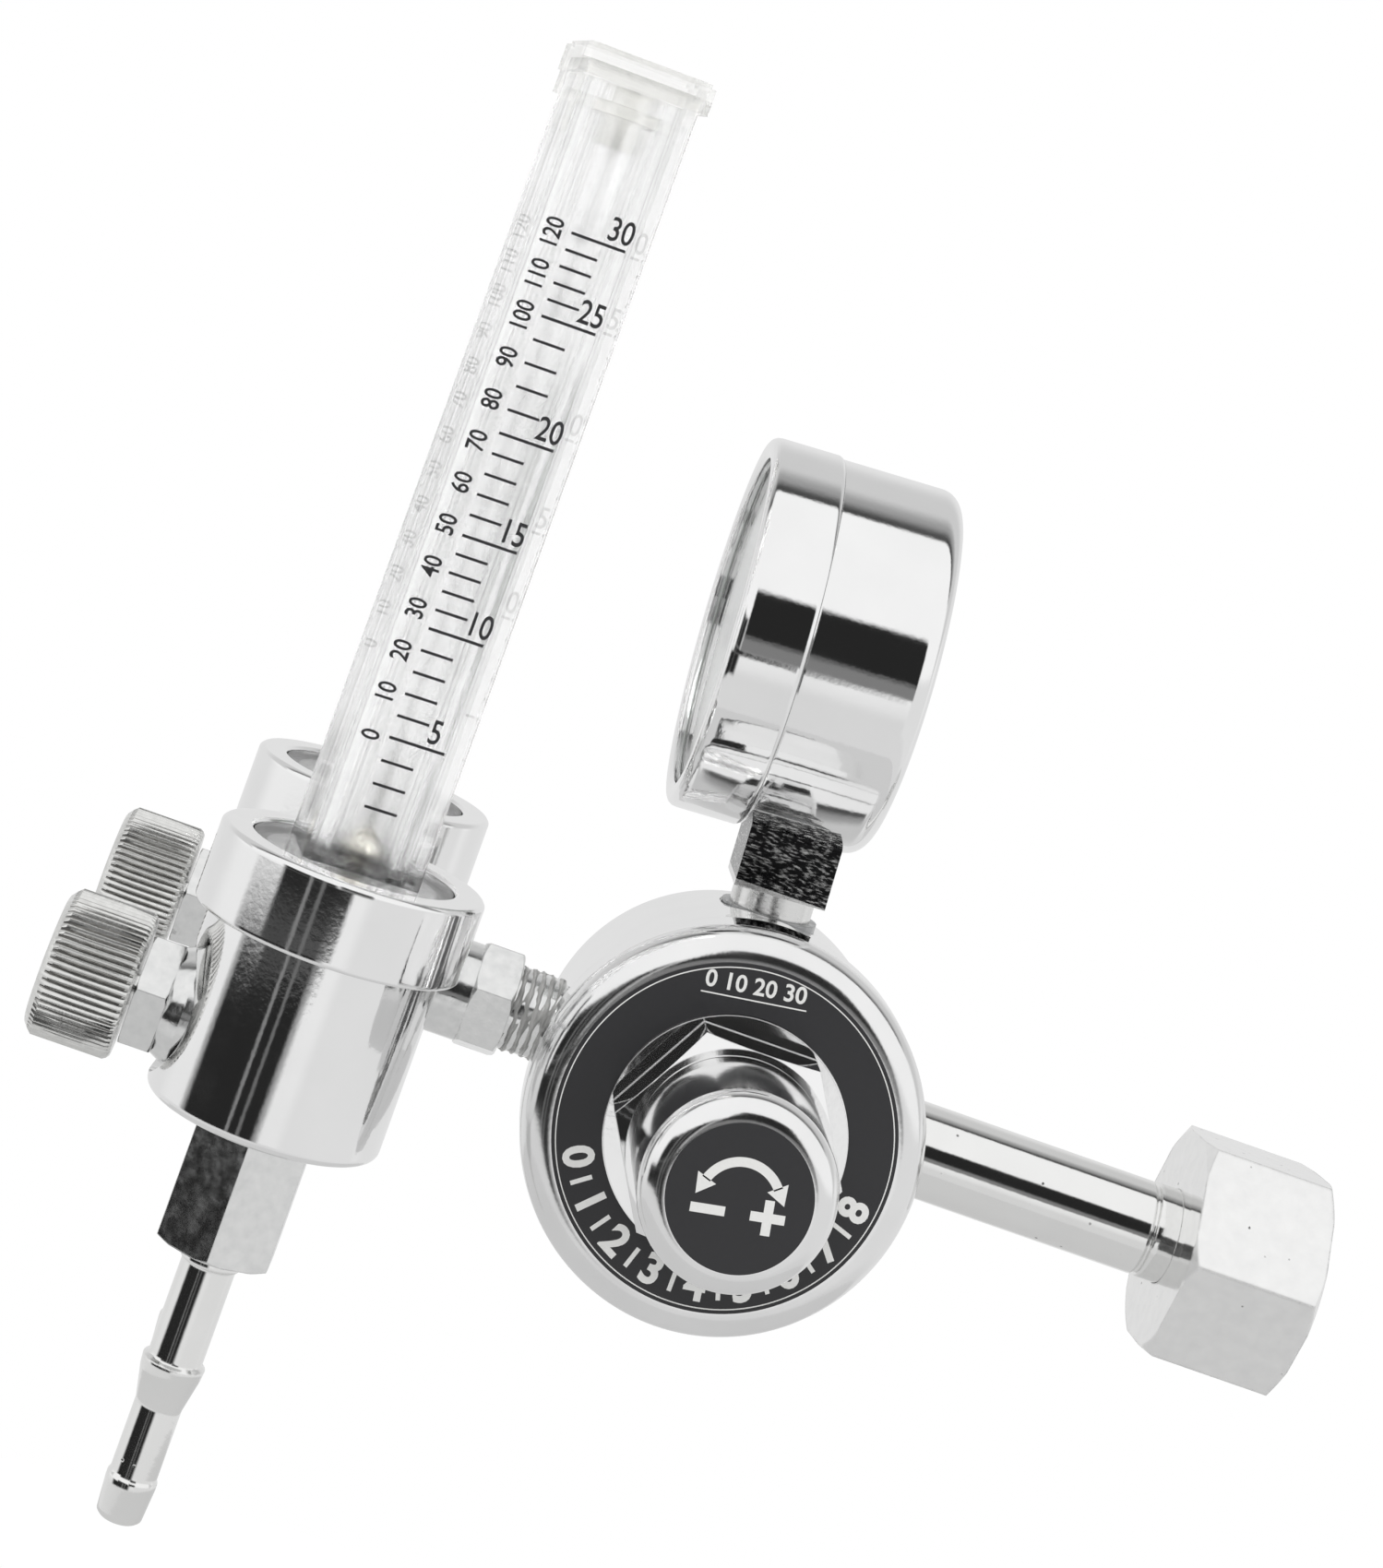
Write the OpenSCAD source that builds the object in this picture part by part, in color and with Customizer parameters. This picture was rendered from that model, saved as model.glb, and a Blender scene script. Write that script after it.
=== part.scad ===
/* [Regulator body] */
// Radius of the drum flange
drum_r = 27.4; // [27:0.1:31]
// Depth of the drum flange behind the bonnet seam
drum_len = 5; // [4:0.5:8]
// Wall of the drum flange round the bonnet skirt
drum_wall = 3.5; // [2.5:0.1:4.5]
// Wall of the hub round the bonnet skirt
hub_wall = 1.3; // [1:0.1:2]
// Distance from the port axis to the back of the hub
hub_back = 10; // [9.5:0.5:14]
// Rounding of the hub back edge
hub_edge_r = 3; // [1:0.5:4]
// Width of the ledge that carries the diaphragm
chamber_ledge = 4.4; // [3.6:0.1:6]
// Depth of the chamber behind the diaphragm
chamber_depth = 3; // [2.5:0.1:4]
// Depth of the socket that takes the bonnet skirt
socket_depth = 10; // [9:0.5:11]
// Radius of the drillings in the body
drill_r = 2; // [1.5:0.1:2.5]
// Distance of the cross drilling from the outlet thread
duct_step = 3; // [2.5:0.1:3.5]
/* [Bonnet] */
// Height of the bonnet in front of the seam
bonnet_h = 4.2; // [4:0.1:7]
// Straight band between the seam and the rounded bonnet shoulder
bonnet_band = 0.2; // [0.1:0.1:2]
// Wall of the bonnet skirt
skirt_wall = 3.6; // [2.5:0.1:4]
// Thickness of the bonnet front plate
plate_t = 3.2; // [2.5:0.1:3.6]
// Thickness of the printed labels
label_t = 0.25; // [0.2:0.05:0.5]
// Bare rim between the ring label and the rounded shoulder
label_rim = 0.2; // [0:0.1:2]
// Width of the printed ring label
label_w = 6.8; // [5:0.1:8]
// Rim of the flange outside the hexagon corners
flange_rim = 0.52; // [0.1:0.02:1]
// Thickness of the flange under the hexagon
flange_t = 0.8; // [0.6:0.1:1.5]
// Height of the bonnet hexagon
bush_h = 7.5; // [6:0.5:9]
// Step from the flange to the bush thread in the bonnet
shank_step = 3.4; // [2.8:0.1:4]
// Wall of the bush round the spring pocket
bush_wall = 2.6; // [2:0.1:3.2]
// Thickness of the floor of the spring pocket
pocket_floor = 2.5; // [2:0.1:3]
/* [Cover cap] */
// Step from the flats of the bonnet hexagon to the cover cap
cap_step = 0.95; // [0.4:0.05:1.6]
// Length of the cover cap
cap_len = 20.2; // [19:0.1:24]
// Rounding of the cover cap edge
cap_edge_r = 3.4; // [1:0.1:3.4]
// Wall of the cover cap
cap_wall = 2.4; // [1.8:0.1:3]
// Thickness of the cover cap end
cap_top = 3.8; // [3:0.1:5]
// Room in front of the threaded nose inside the cap
cap_room = 4.4; // [3:0.1:6]
/* [Spring and valve] */
// Radius of the adjusting screw
adjuster_r = 5; // [4:0.1:6]
// Reach of the adjusting screw in front of the nose
adjuster_out = 1.5; // [0.5:0.1:2.5]
// Thickness of the spring button
button_t = 2; // [1.5:0.1:2.5]
// Room in front of the spring button
button_room = 2; // [2:0.1:3]
// Wire thickness of the main spring
spring_wire = 2.4; // [1.8:0.1:2.6]
// Room between the main spring and the pocket wall
spring_gap = 1; // [0.6:0.1:1.5]
// Turns of the main spring
spring_turns = 4; // [3:0.5:4.5]
// Thickness of the rubber diaphragm
diaphragm_t = 1.2; // [1:0.1:1.6]
// Thickness of the slip ring
slip_t = 1; // [0.8:0.1:1.4]
// Radius of the diaphragm plate
dplate_r = 13; // [11:0.5:15]
// Thickness of the diaphragm plate
dplate_t = 2; // [1.5:0.1:2.5]
// Radius of the rivet through the diaphragm
rivet_r = 2.5; // [2:0.1:3]
// Radius of the rivet head behind the diaphragm
head_r = 5; // [4:0.1:6]
// Thickness of the rivet head
head_t = 1; // [0.8:0.1:1.5]
// Rim of the valve seat outside the poppet chamber
seat_rim = 0.5; // [0.3:0.1:1]
// Length of the valve seat
seat_len = 6; // [5:0.5:7]
// Radius of the hole in the valve seat
orifice_r = 1.6; // [1.4:0.1:2]
// Radius of the poppet pin
pin_r = 0.9; // [0.8:0.1:1.1]
// Room round the poppet in its chamber
poppet_gap = 1.2; // [0.8:0.1:1.5]
// Thickness of the poppet
poppet_t = 3.5; // [2.5:0.1:4]
// Opening between the poppet and its seat
valve_gap = 0.6; // [0.4:0.05:0.8]
// Radius of the poppet chamber
poppet_bore_r = 4.5; // [4.2:0.1:4.6]
// Length of the poppet spring
poppet_spring_len = 6.4; // [5:0.1:7.5]
// Radius of the stem behind the poppet
poppet_stem_r = 1.3; // [1:0.1:1.5]
// Reach of the stem into the rear plug
poppet_stem_in = 1.5; // [1:0.1:3]
// Radius of the rear plug thread
plug_r = 6; // [5.5:0.1:7]
// Length of the rear plug thread
plug_len = 9; // [8:0.5:9]
// Width across flats of the rear plug
plug_af = 14; // [14:0.5:17]
// Thickness of the rear plug head
plug_head = 3; // [2:0.5:4]
/* [Inlet] */
// Radius of the inlet pipe
pipe_r = 6.65; // [6:0.05:6.8]
// Depth of the inlet pipe in the body
pipe_depth = 8; // [6:0.5:9]
// Distance from the drum axis to the inlet nut
nut_x = 69.7; // [60:0.5:80]
// Length of the inlet nut
nut_len = 19.3; // [19:0.1:24]
// Width across flats of the inlet nut
nut_af = 30; // [30:0.5:34]
// Minor radius of the inlet nut thread
nut_thread_r = 9.75; // [9.6:0.05:10]
// Wall at the small end of the inlet nut
nut_wall = 3.8; // [3:0.1:4.5]
// Turn of the inlet nut about its axis
nut_turn = -93.6; // [-120:0.1:-60]
// Bevel of the inlet nut corners
nut_bevel = 1.9; // [1:0.1:2.2]
// Room round the inlet shoulder inside the nut thread
shoulder_gap = 0.55; // [0.4:0.05:1]
// Thickness of the inlet shoulder
shoulder_ring_t = 3.4; // [2.5:0.1:4]
// Radius of the inlet nose
nose_tip_r = 6; // [5.5:0.1:6.3]
// Length of the inlet nose
nose_tip_len = 4; // [3:0.1:5]
// Thickness of the inlet gasket
gasket_t = 2; // [1.5:0.1:2.5]
// Radius of the bore through the inlet pipe
pipe_bore_r = 2.6; // [2:0.1:3]
// Radius of the sintered inlet filter
filter_r = 4.2; // [3.6:0.1:4.5]
// Length of the sintered inlet filter
filter_len = 6; // [4:0.5:8]
// Depth of the groove near the inlet nut
groove_d = 0.4; // [0.2:0.05:0.6]
// Length of the groove near the inlet nut
groove_len = 0.7; // [0.5:0.1:1.2]
// Length of the turned collar between the groove and the nut
collar_len = 3.2; // [2:0.1:5]
// Step of the turned collar above the pipe
collar_step = 0.1; // [0.05:0.05:0.3]
/* [Outlet] */
// Radius of the outlet pipe
out_pipe_r = 6.95; // [6.5:0.05:7.2]
// Radius of the taped outlet thread
out_thread_r = 5.9; // [5.5:0.1:6.2]
// Depth of the outlet thread in the body
out_depth = 7; // [5:0.5:8]
// Exposed length of the taped outlet thread
out_gap = 5.5; // [5:0.1:7]
// Length of the outlet hexagon
out_hex_len = 6; // [5:0.1:7]
// Width across flats of the outlet hexagon
out_hex_af = 14; // [14:0.1:15]
// Turn of the outlet hexagon about its axis
out_hex_turn = -72.2; // [-100:0.1:-40]
// Radius of the manifold bar
manifold_r = 7.2; // [6.8:0.1:7.5]
// Radius of the manifold boss
manifold_boss_r = 8.2; // [7.8:0.1:9]
// Reach of the manifold boss from the flowmeter axis
manifold_reach = 9; // [8.5:0.1:11]
// Radius of the spigots that enter the flowmeter housings
spigot_r = 5; // [4:0.1:5.5]
// Length of the spigots that enter the flowmeter housings
spigot_len = 6; // [4:0.5:7]
// Radius of the bore through the outlet union and the manifold
out_bore_r = 2.5; // [2:0.1:3]
/* [Gauge] */
// Lean of the gauge towards the flowmeters
gauge_lean = 3; // [0:0.5:4]
// Step of the bezel above the gauge case
bezel_step = 0.4; // [0.2:0.1:1]
// Distance from the drum axis to the front of the bezel
bezel_x = 19; // [18:0.1:24]
// Length of the bezel
bezel_len = 10.6; // [10.4:0.1:11]
// Room between the pointer tip and the rim of the dial
pointer_gap = 4.1; // [2:0.1:6]
// Length of the pointer tail
pointer_tail = 6; // [4:0.1:8]
// Distance of the dial screws from the gauge axis
screw_y = 7; // [5:0.1:9]
// Width of the bezel rim round its opening
bezel_rim = 3.3; // [2.8:0.1:4.5]
// Thickness of the bezel front
bezel_front_t = 1.6; // [1.2:0.1:2]
// Radius of the gauge case
case_r = 26.9; // [25.5:0.1:27]
// Distance from the drum axis to the back of the case
case_back = 9.8; // [9:0.1:12]
// Wall of the gauge case
case_wall = 1.1; // [0.8:0.1:1.3]
// Rounding of the case back edge
case_edge_r = 3; // [1:0.1:4]
// Thickness of the lens
lens_t = 1.4; // [1:0.1:1.8]
// Room round the dial in the case
dial_gap = 1.2; // [0.4:0.1:2]
// Depth of the dial behind the lens
dial_depth = 4.6; // [4:0.1:5]
// Thickness of the dial
dial_t = 0.6; // [0.4:0.1:0.8]
// Depth of the stem square in the wall of the case
stem_sink = 1.143; // [0.8:0.001:1.5]
// Side of the square on the gauge stem
square_w = 13.4; // [12:0.1:15]
// Height of the square on the gauge stem
square_h = 9; // [7:0.1:9.5]
// Radius of the neck under the square
neck_r = 6; // [5:0.1:6.5]
// Length of the neck under the square
neck_len = 3.2; // [2.8:0.1:4.5]
// Radius of the gauge stem thread
stem_thread_r = 4.8; // [4:0.1:5]
// Length of the gauge stem thread
stem_thread_len = 6.6; // [5:0.1:8]
// Radius of the gauge washer
washer_r = 7; // [6.5:0.1:8]
// Thickness of the gauge washer
washer_t = 1.2; // [0.8:0.1:2]
// Room between the case and the middle of the bent pressure tube
bourdon_gap = 5.8; // [4:0.1:7]
// Room between the case and the foot of the movement plates
plate_gap = 2.8; // [2:0.1:4]
// Height of the sector axle above the foot of the movement plates
sector_rise = 6.14; // [5.5:0.01:7]
// Half width of the movement plates
plate_half = 8.5; // [8:0.1:10]
// Thickness of the movement plates
plate_thick = 1; // [0.8:0.1:1.2]
// Distance between the fronts of the movement plates
plate_pitch = 6; // [5.5:0.1:6.5]
// Tooth count of the pinion
pinion_teeth = 12; // [10:1:14]
// Gear ratio between the sector and the pinion
sector_ratio = 7; // [6:0.5:8]
/* [Flowmeters] */
// Distance from the drum axis to the flowmeter axes
meter_x = 59; // [54:0.5:66]
// Distance of each flowmeter axis from the port axis
meter_y = 32.3; // [28:0.1:38]
// Wall between the needle axis and the outlet nut thread
union_floor = 4.2; // [3.8:0.1:6]
// Height of the collar seam above the port axis
seam_z = 7.5; // [6.5:0.1:9]
// Step from the housing up to its threaded neck
neck_step = 1; // [0.8:0.1:2]
// Wall of the collar round the housing neck
collar_wall = 3.26; // [2:0.02:5]
// Reach of the collar over the tube flange
collar_lip = 1.1; // [0.8:0.1:1.6]
// Thickness of the collar lip above the tube flange
collar_lip_t = 2.4; // [1.8:0.1:3]
// Height of the collar rim above the housing neck
collar_rise = 5.7; // [5:0.1:8]
// Height of the threaded housing neck
thread_neck_h = 5.4; // [4.5:0.1:6]
// Width of the square cover tube
tube_w = 16.2; // [15:0.1:19]
// Room between the flat of the cover tube and the collar opening
tube_inset = 6; // [4:0.1:7]
// Top of the square cover tube
tube_top = 129; // [120:0.5:150]
// Wall of the cover tube at the middle of a side
tube_wall = 1.2; // [0.8:0.1:1.6]
// Turn of the front cover tube about its axis
front_turn = 9.7; // [-20:0.1:20]
// Turn of the rear cover tube about its axis
rear_turn = 9.7; // [-20:0.1:20]
// Overhang of the tube cap
tube_cap_lip = 1.2; // [0.8:0.1:2]
// Height of the tube cap
tube_cap_h = 4.2; // [3.5:0.1:5]
// Room between the metering tube and the cover tube
tube_room = 1.7; // [1.2:0.1:2]
// Wall of the metering tube at its top
glass_wall = 1; // [0.7:0.05:1.3]
// Taper of the metering bore from top to foot
bore_taper = 1.05; // [0.5:0.05:1.3]
// Room round the float ball at the foot of the bore
ball_gap = 0.15; // [0.1:0.05:0.4]
// Depth of the float seat below the collar rim
seat_drop = 0.7; // [0.2:0.1:2]
// Rim of the float seat round its hole
seat_lip = 1; // [0.7:0.1:1.5]
// Length of the top stop
stop_len = 8; // [6:0.5:10]
/* [Needle valves] */
// Distance of the needle axis below the port axis
needle_low = 7; // [6.5:0.1:8]
// Radius of the milled face round the gland
spot_r = 9.4; // [8.5:0.1:9.6]
// Depth of the milled faces on the housing
spot_depth = 0.2; // [0.1:0.05:0.4]
// Width across flats of the gland hexagon
gland_af = 14.2; // [13:0.1:15]
// Turn of the gland hexagon about its axis
gland_turn = -77; // [-90:0.5:-30]
// Length of the gland hexagon
gland_hex_len = 4.4; // [3.5:0.1:6]
// Length of the gland flange and cone
gland_cone_len = 3.9; // [3:0.1:5]
// Radius of the gland flange on its milled face
gland_flange_r = 8.2; // [7.4:0.1:9]
// Thickness of the gland flange
gland_flange_t = 1.5; // [1:0.1:2]
// Radius of the gland thread
gland_thread_r = 5.8; // [5:0.1:6.2]
// Depth of the gland thread in the housing
gland_depth = 5; // [4:0.1:5.5]
// Radius of the needle stem
needle_r = 2.4; // [2:0.1:2.8]
// Travel of the needle from shut to open
needle_travel = 2.25; // [1.5:0.05:2.5]
// Radius of the knob
knob_r = 9.85; // [8.5:0.05:12]
// Length of the knob
knob_len = 12.1; // [10:0.1:15]
// Depth of the hole in the knob
knob_bore_len = 8; // [6:0.1:9]
// Number of grooves round the knob
knob_grooves = 60; // [40:1:72]
// Depth of the grooves round the knob
knob_groove_d = 0.4; // [0.2:0.05:0.6]
// Bevel of the knob edges
knob_bevel = 1.4; // [0.5:0.1:2]
// Gap between the knob and the gland
knob_gap = 0.4; // [0.3:0.1:1]
/* [Hose tails] */
// Width across flats of the outlet nut
union_af = 15.2; // [14.8:0.1:17]
// Turn of the outlet nut about its axis
union_turn = 26.9; // [0:0.1:60]
// Length of the outlet nut below the housing
union_len = 17.9; // [14:0.1:20]
// Radius of the outlet nut thread
union_thread_r = 6.2; // [6:0.1:6.5]
// Length of the outlet nut thread
union_thread_len = 6.5; // [5:0.1:7]
// Thickness of the outlet nut under the hose tail flange
union_lip = 6; // [4:0.1:8]
// Radius of the hose tail flange inside the outlet nut
tail_flange_r = 5.3; // [5:0.1:5.6]
// Thickness of the hose tail flange
tail_flange_t = 3; // [2:0.1:4]
// Step of the hose tail collar above the upper section
tail_collar_step = 0.4; // [0.2:0.1:0.7]
// Length of the hose tail collar below the nut
tail_collar_len = 1.9; // [1:0.1:3]
// Radius of the upper hose section
tail_top_r = 3.7; // [3.4:0.05:3.9]
// Length of the upper hose section
tail_top_len = 13.1; // [10:0.1:16]
// Height of the upper ridge above the hose section
ridge_top = 0.6; // [0.3:0.05:1]
// Length of the taper below the upper ridge
tail_taper_len = 6.3; // [4:0.1:8]
// Step from the upper to the lower hose section
tail_step = 0.5; // [0.2:0.05:0.8]
// Length of the lower hose section
tail_low_len = 10; // [8:0.1:13]
// Height of the lower ridge above the hose section
ridge_low = 0.25; // [0.1:0.05:0.6]
// Length of the rounded tip
tip_len = 5.8; // [4:0.1:8]
// Radius of the bore through the hose tail
tail_bore_r = 1.8; // [1.4:0.1:2.2]
/* [Clearances] */
// Radial clearance of threads and press fits
thread_gap = 0.05; // [0.02:0.01:0.08]
// Clearance between pieces that slide or turn
run_gap = 0.08; // [0.04:0.01:0.1]
/* [Hidden] */
$fn = 96;

// Radii that follow from the sizes above
skirt_r = drum_r - drum_wall;
hub_r = skirt_r + hub_wall;
chamber_r = skirt_r - chamber_ledge;
shoulder_r = bonnet_h - bonnet_band;
label_r = drum_r - shoulder_r - label_rim;
flange_r = label_r - label_w;
bush_af = (flange_r - flange_rim) * sqrt(3);
bush_shank_r = flange_r - shank_step;
cap_r = bush_af / 2 - cap_step;
pocket_r = bush_shank_r - bush_wall;
nose_r = cap_r - cap_wall;
disc_r = cap_r - cap_edge_r;
spring_r = pocket_r - spring_gap - spring_wire / 2;
seat_r = poppet_bore_r + seat_rim;
poppet_r = poppet_bore_r - poppet_gap;
shoulder_ring_r = nut_thread_r - shoulder_gap;
collar_pipe_r = pipe_r + collar_step;
body_clear_r = drum_r + hub_wall + 1;

// Lengths that follow from the sizes above
seam_y = socket_depth + chamber_depth + seat_len + valve_gap + poppet_t + poppet_spring_len + plug_len
    - hub_back;
cap_bore_len = cap_len - cap_top;
nose_len = cap_bore_len - cap_room;

// Stations along the drum axis, negative towards the front
y_seam = -seam_y;
y_drum_back = y_seam + drum_len;
y_front = y_seam - bonnet_h;
y_ledge = y_seam + socket_depth;
y_floor = y_ledge + chamber_depth;
y_diaphragm = y_ledge - diaphragm_t;
y_slip = y_diaphragm - slip_t;
y_plate = y_diaphragm - dplate_t;
y_seat_back = y_floor + seat_len;
y_poppet = y_seat_back + valve_gap;
y_plug = hub_back - plug_len;
y_flange = y_front - flange_t;
y_hex = y_flange - bush_h;
y_pocket = y_hex + pocket_floor;
y_nose = y_hex - nose_len;
y_button = y_pocket + button_room;
y_adjuster = y_nose - adjuster_out;
y_cap = y_hex - cap_len;

// Stations along the inlet axis
x_pipe_in = hub_r - pipe_depth;
x_shoulder = nut_x + nut_wall + run_gap;
x_nose = x_shoulder + shoulder_ring_t;
x_inlet_end = x_nose + nose_tip_len;
x_mount = (x_inlet_end + nut_x + nut_len) / 2;

// Stations along the outlet axis
x_out_hex = -hub_r - out_gap;
x_out_pipe = x_out_hex - out_hex_len;
x_boss = -meter_x + manifold_reach;
opening_r = tube_w / 2 + tube_inset;
thread_neck_r = opening_r + collar_lip;
housing_r = thread_neck_r + neck_step;
collar_r = thread_neck_r + collar_wall;
spot_room = 0.2;
y_spot = meter_y - sqrt(pow(housing_r, 2) - pow(manifold_r + spot_room, 2)) + spot_depth;

// Heights in the flowmeters
housing_low = needle_low + union_thread_len + union_floor;
z_neck = seam_z + thread_neck_h;
rim_z = z_neck + collar_rise;
seat_z = rim_z - seat_drop;
z_flange = rim_z - collar_lip_t;
tube_bore_r = tube_w / 2 - tube_wall;
meter_tube_r = tube_bore_r - tube_room;
bore_top_r = meter_tube_r - glass_wall;
bore_low_r = bore_top_r - bore_taper;
ball_r = bore_low_r - ball_gap;
seat_hole_r = ball_r - seat_lip;
z_ball = seat_z + sqrt(pow(ball_r, 2) - pow(seat_hole_r, 2)) + run_gap / 2;
z_foot = seam_z - 3;
z_cap = tube_top - 2;
z_stop = z_cap - stop_len;
cap_w = tube_w + 2 * tube_cap_lip;
foot_r = meter_tube_r + 0.9;
foot_room_r = thread_neck_r - 5.8;
seal_ring_r = thread_neck_r - 2.2;
duct_r = 2;
x_seat = -5;
needle_hole_r = 1.2;
x_spot = spot_depth - sqrt(pow(housing_r, 2) - pow(spot_r, 2));
x_cone = x_spot - gland_cone_len;
x_gland = x_cone - gland_hex_len;
x_knob = x_gland - knob_gap;
z_union = -housing_low - union_len;
z_lip = z_union + union_lip;
z_tail_top = z_union - tail_collar_len;
z_ridge = z_tail_top - tail_top_len;
z_tail_low = z_ridge - tail_taper_len;
z_ridge_low = z_tail_low - tail_low_len;
z_tip = z_ridge_low - tip_len;
tail_collar_r = tail_top_r + tail_collar_step;
ridge_top_r = tail_top_r + ridge_top;
tail_low_r = tail_top_r - tail_step;
ridge_low_r = tail_low_r + ridge_low;

// Heights and stations in the gauge
z_washer = sqrt(pow(hub_r, 2) - pow(washer_r, 2)) - washer_r * sin(gauge_lean);
z_square = z_washer + washer_t + neck_len;
z_shelf = z_square + square_h;
gauge_z = z_shelf + case_r - stem_sink;
bezel_r = case_r + bezel_step;
window_r = bezel_r - bezel_rim;
gauge_in_r = case_r - case_wall;
dial_r = gauge_in_r - dial_gap;
bourdon_r = gauge_in_r - bourdon_gap;
pointer_len = dial_r - pointer_gap;
z_plate = plate_gap - gauge_in_r;
x_bezel_back = -bezel_x + bezel_len;
x_lens = -bezel_x + bezel_front_t;
x_dial = x_lens + lens_t + dial_depth;
x_plate_front = x_dial + dial_t;
x_gear = x_plate_front + 3.4;
x_plate_back = x_plate_front + plate_pitch;
x_head = x_plate_back + plate_thick;
head_depth = square_w / 2 - 1.5 - x_head;
head_half = square_w / 2 - 0.3;
head_h = 10.4;
z_sector = z_plate + sector_rise;
mesh_gap = 0.06;
plate_top = 6;
pinion_r = (-z_sector - mesh_gap) / (sector_ratio + 1);
sector_r = pinion_r * sector_ratio;
gear_m = 2 * pinion_r / pinion_teeth;
tail_arm = 7;
link_x = x_gear + 1.1;
bourdon_start = -73;
bourdon_end = 180;
link_angle = bourdon_end - 3;
link_pin_r = 0.42;
axle_r = 0.7;

// Puts the origin at the middle of the free thread in the inlet nut
module placed() {
    translate([-x_mount, 0, 0]) children();
}

module rod_x(r, x0, x1) {
    translate([x0, 0, 0]) rotate([0, 90, 0]) cylinder(r = r, h = x1 - x0);
}

module rod_y(r, y0, y1) {
    translate([0, y0, 0]) rotate([-90, 0, 0]) cylinder(r = r, h = y1 - y0);
}

module rod_z(r, z0, z1) {
    translate([0, 0, z0]) cylinder(r = r, h = z1 - z0);
}

// Hexagonal bar along Z with both ends bevelled
module hex_bar(af, z0, z1, bevel0, bevel1) {
    corner = af / sqrt(3);
    intersection() {
        translate([0, 0, z0]) cylinder(r = corner, h = z1 - z0, $fn = 6);
        rotate_extrude() polygon([[0, z0], [corner - bevel0, z0], [corner + 0.01, z0 + bevel0 * 0.55],
            [corner + 0.01, z1 - bevel1 * 0.55], [corner - bevel1, z1], [0, z1]]);
    }
}

// Turned piece along Z from a list of radius and height pairs
module turned(points) {
    rotate_extrude() polygon(points);
}

// Quarter round from the side up to the top, for the outline of a turned piece
function edge_arc(r, z, edge) = [for (a = [0:10:90]) [r - edge + edge * cos(a), z - edge + edge * sin(a)]];

// Coil spring along Z made of straight lengths of round wire
module coil(mean_r, wire_r, z0, z1, turns) {
    steps = ceil(turns * 20);
    sides = 8;
    rise = (z1 - z0 - 2 * wire_r - 0.1) / steps;
    points = [for (i = [0:steps]) for (j = [0:sides - 1])
        let (a = i * 360 * turns / steps, b = j * 360 / sides, r = mean_r + wire_r * cos(b))
        [r * cos(a), r * sin(a), z0 + wire_r + 0.05 + i * rise + wire_r * sin(b)]];
    faces = [for (i = [0:steps - 1]) for (j = [0:sides - 1])
        [i * sides + j, i * sides + (j + 1) % sides, (i + 1) * sides + (j + 1) % sides, (i + 1) * sides + j]];
    polyhedron(points, concat([for (f = faces) [f[3], f[2], f[1], f[0]]],
        [[for (j = [0:sides - 1]) j], [for (j = [sides - 1:-1:0]) steps * sides + j]]), 4);
}

// Moves a piece that is drawn along Z so that Z points to the front
module to_front() {
    rotate([90, 0, 0]) children();
}

// Frame of the gauge and its stem, tilted about the foot of the stem
module lean_frame() {
    translate([0, 0, z_washer]) rotate([0, -gauge_lean, 0]) translate([0, 0, -z_washer]) children();
}

module regulator_body() color([0.82, 0.83, 0.84]) difference() {
    union() {
        rod_y(drum_r, y_seam, y_drum_back);
        rotate([-90, 0, 0]) turned([[0, y_drum_back], [hub_r, y_drum_back],
            each edge_arc(hub_r, hub_back, hub_edge_r),
            [0, hub_back]]);
    }
    rod_y(skirt_r + thread_gap, y_seam - 1, y_ledge);
    rod_y(chamber_r, y_ledge - 1, y_floor);
    rod_y(seat_r + thread_gap, y_floor - 1, y_seat_back);
    rod_y(poppet_bore_r, y_seat_back - 1, y_plug);
    rod_y(plug_r + thread_gap, y_plug, hub_back + 1);
    rod_x(pipe_r + thread_gap, x_pipe_in, hub_r + 1);
    rod_x(drill_r, 0, x_pipe_in + 1);
    rod_x(out_thread_r + thread_gap, -hub_r - 1, -hub_r + out_depth);
    translate([-hub_r + out_depth + duct_step, 0, 0]) rod_y(drill_r, y_floor - 1, 0);
    rod_x(drill_r, -hub_r + out_depth - 1, -hub_r + out_depth + duct_step);
    lean_frame() {
        rod_z(washer_r + 0.3, z_washer, body_clear_r);
        rod_z(stem_thread_r + thread_gap, z_washer - stem_thread_len - 0.4, body_clear_r);
        rod_z(1.2, 0, body_clear_r);
    }
}

module bonnet() color([0.8, 0.81, 0.82]) difference() {
    to_front() turned([[0, -y_slip], [skirt_r, -y_slip], [skirt_r, seam_y], [drum_r, seam_y],
        each edge_arc(drum_r, -y_front, shoulder_r),
        [0, -y_front]]);
    rod_y(skirt_r - skirt_wall, y_front + plate_t, y_slip + 1);
    rod_y(bush_shank_r + thread_gap, y_front - 1, y_front + plate_t + 1);
}

module bonnet_label() color([0.12, 0.12, 0.13]) difference() {
    rod_y(label_r, y_front - label_t, y_front);
    rod_y(flange_r + thread_gap, y_front - label_t - 1, y_front + 1);
}

module hex_bush() color([0.8, 0.81, 0.82]) difference() {
    union() {
        rod_y(bush_shank_r, y_hex + 1, y_front + plate_t);
        rod_y(flange_r, y_flange, y_front);
        to_front() hex_bar(bush_af, -y_flange, -y_hex, 0, 2.2);
        rod_y(nose_r, y_nose, y_hex + 1);
    }
    rod_y(pocket_r, y_pocket, y_front + plate_t + 1);
    rod_y(adjuster_r + run_gap, y_nose - 1, y_pocket + 1);
}

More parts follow.
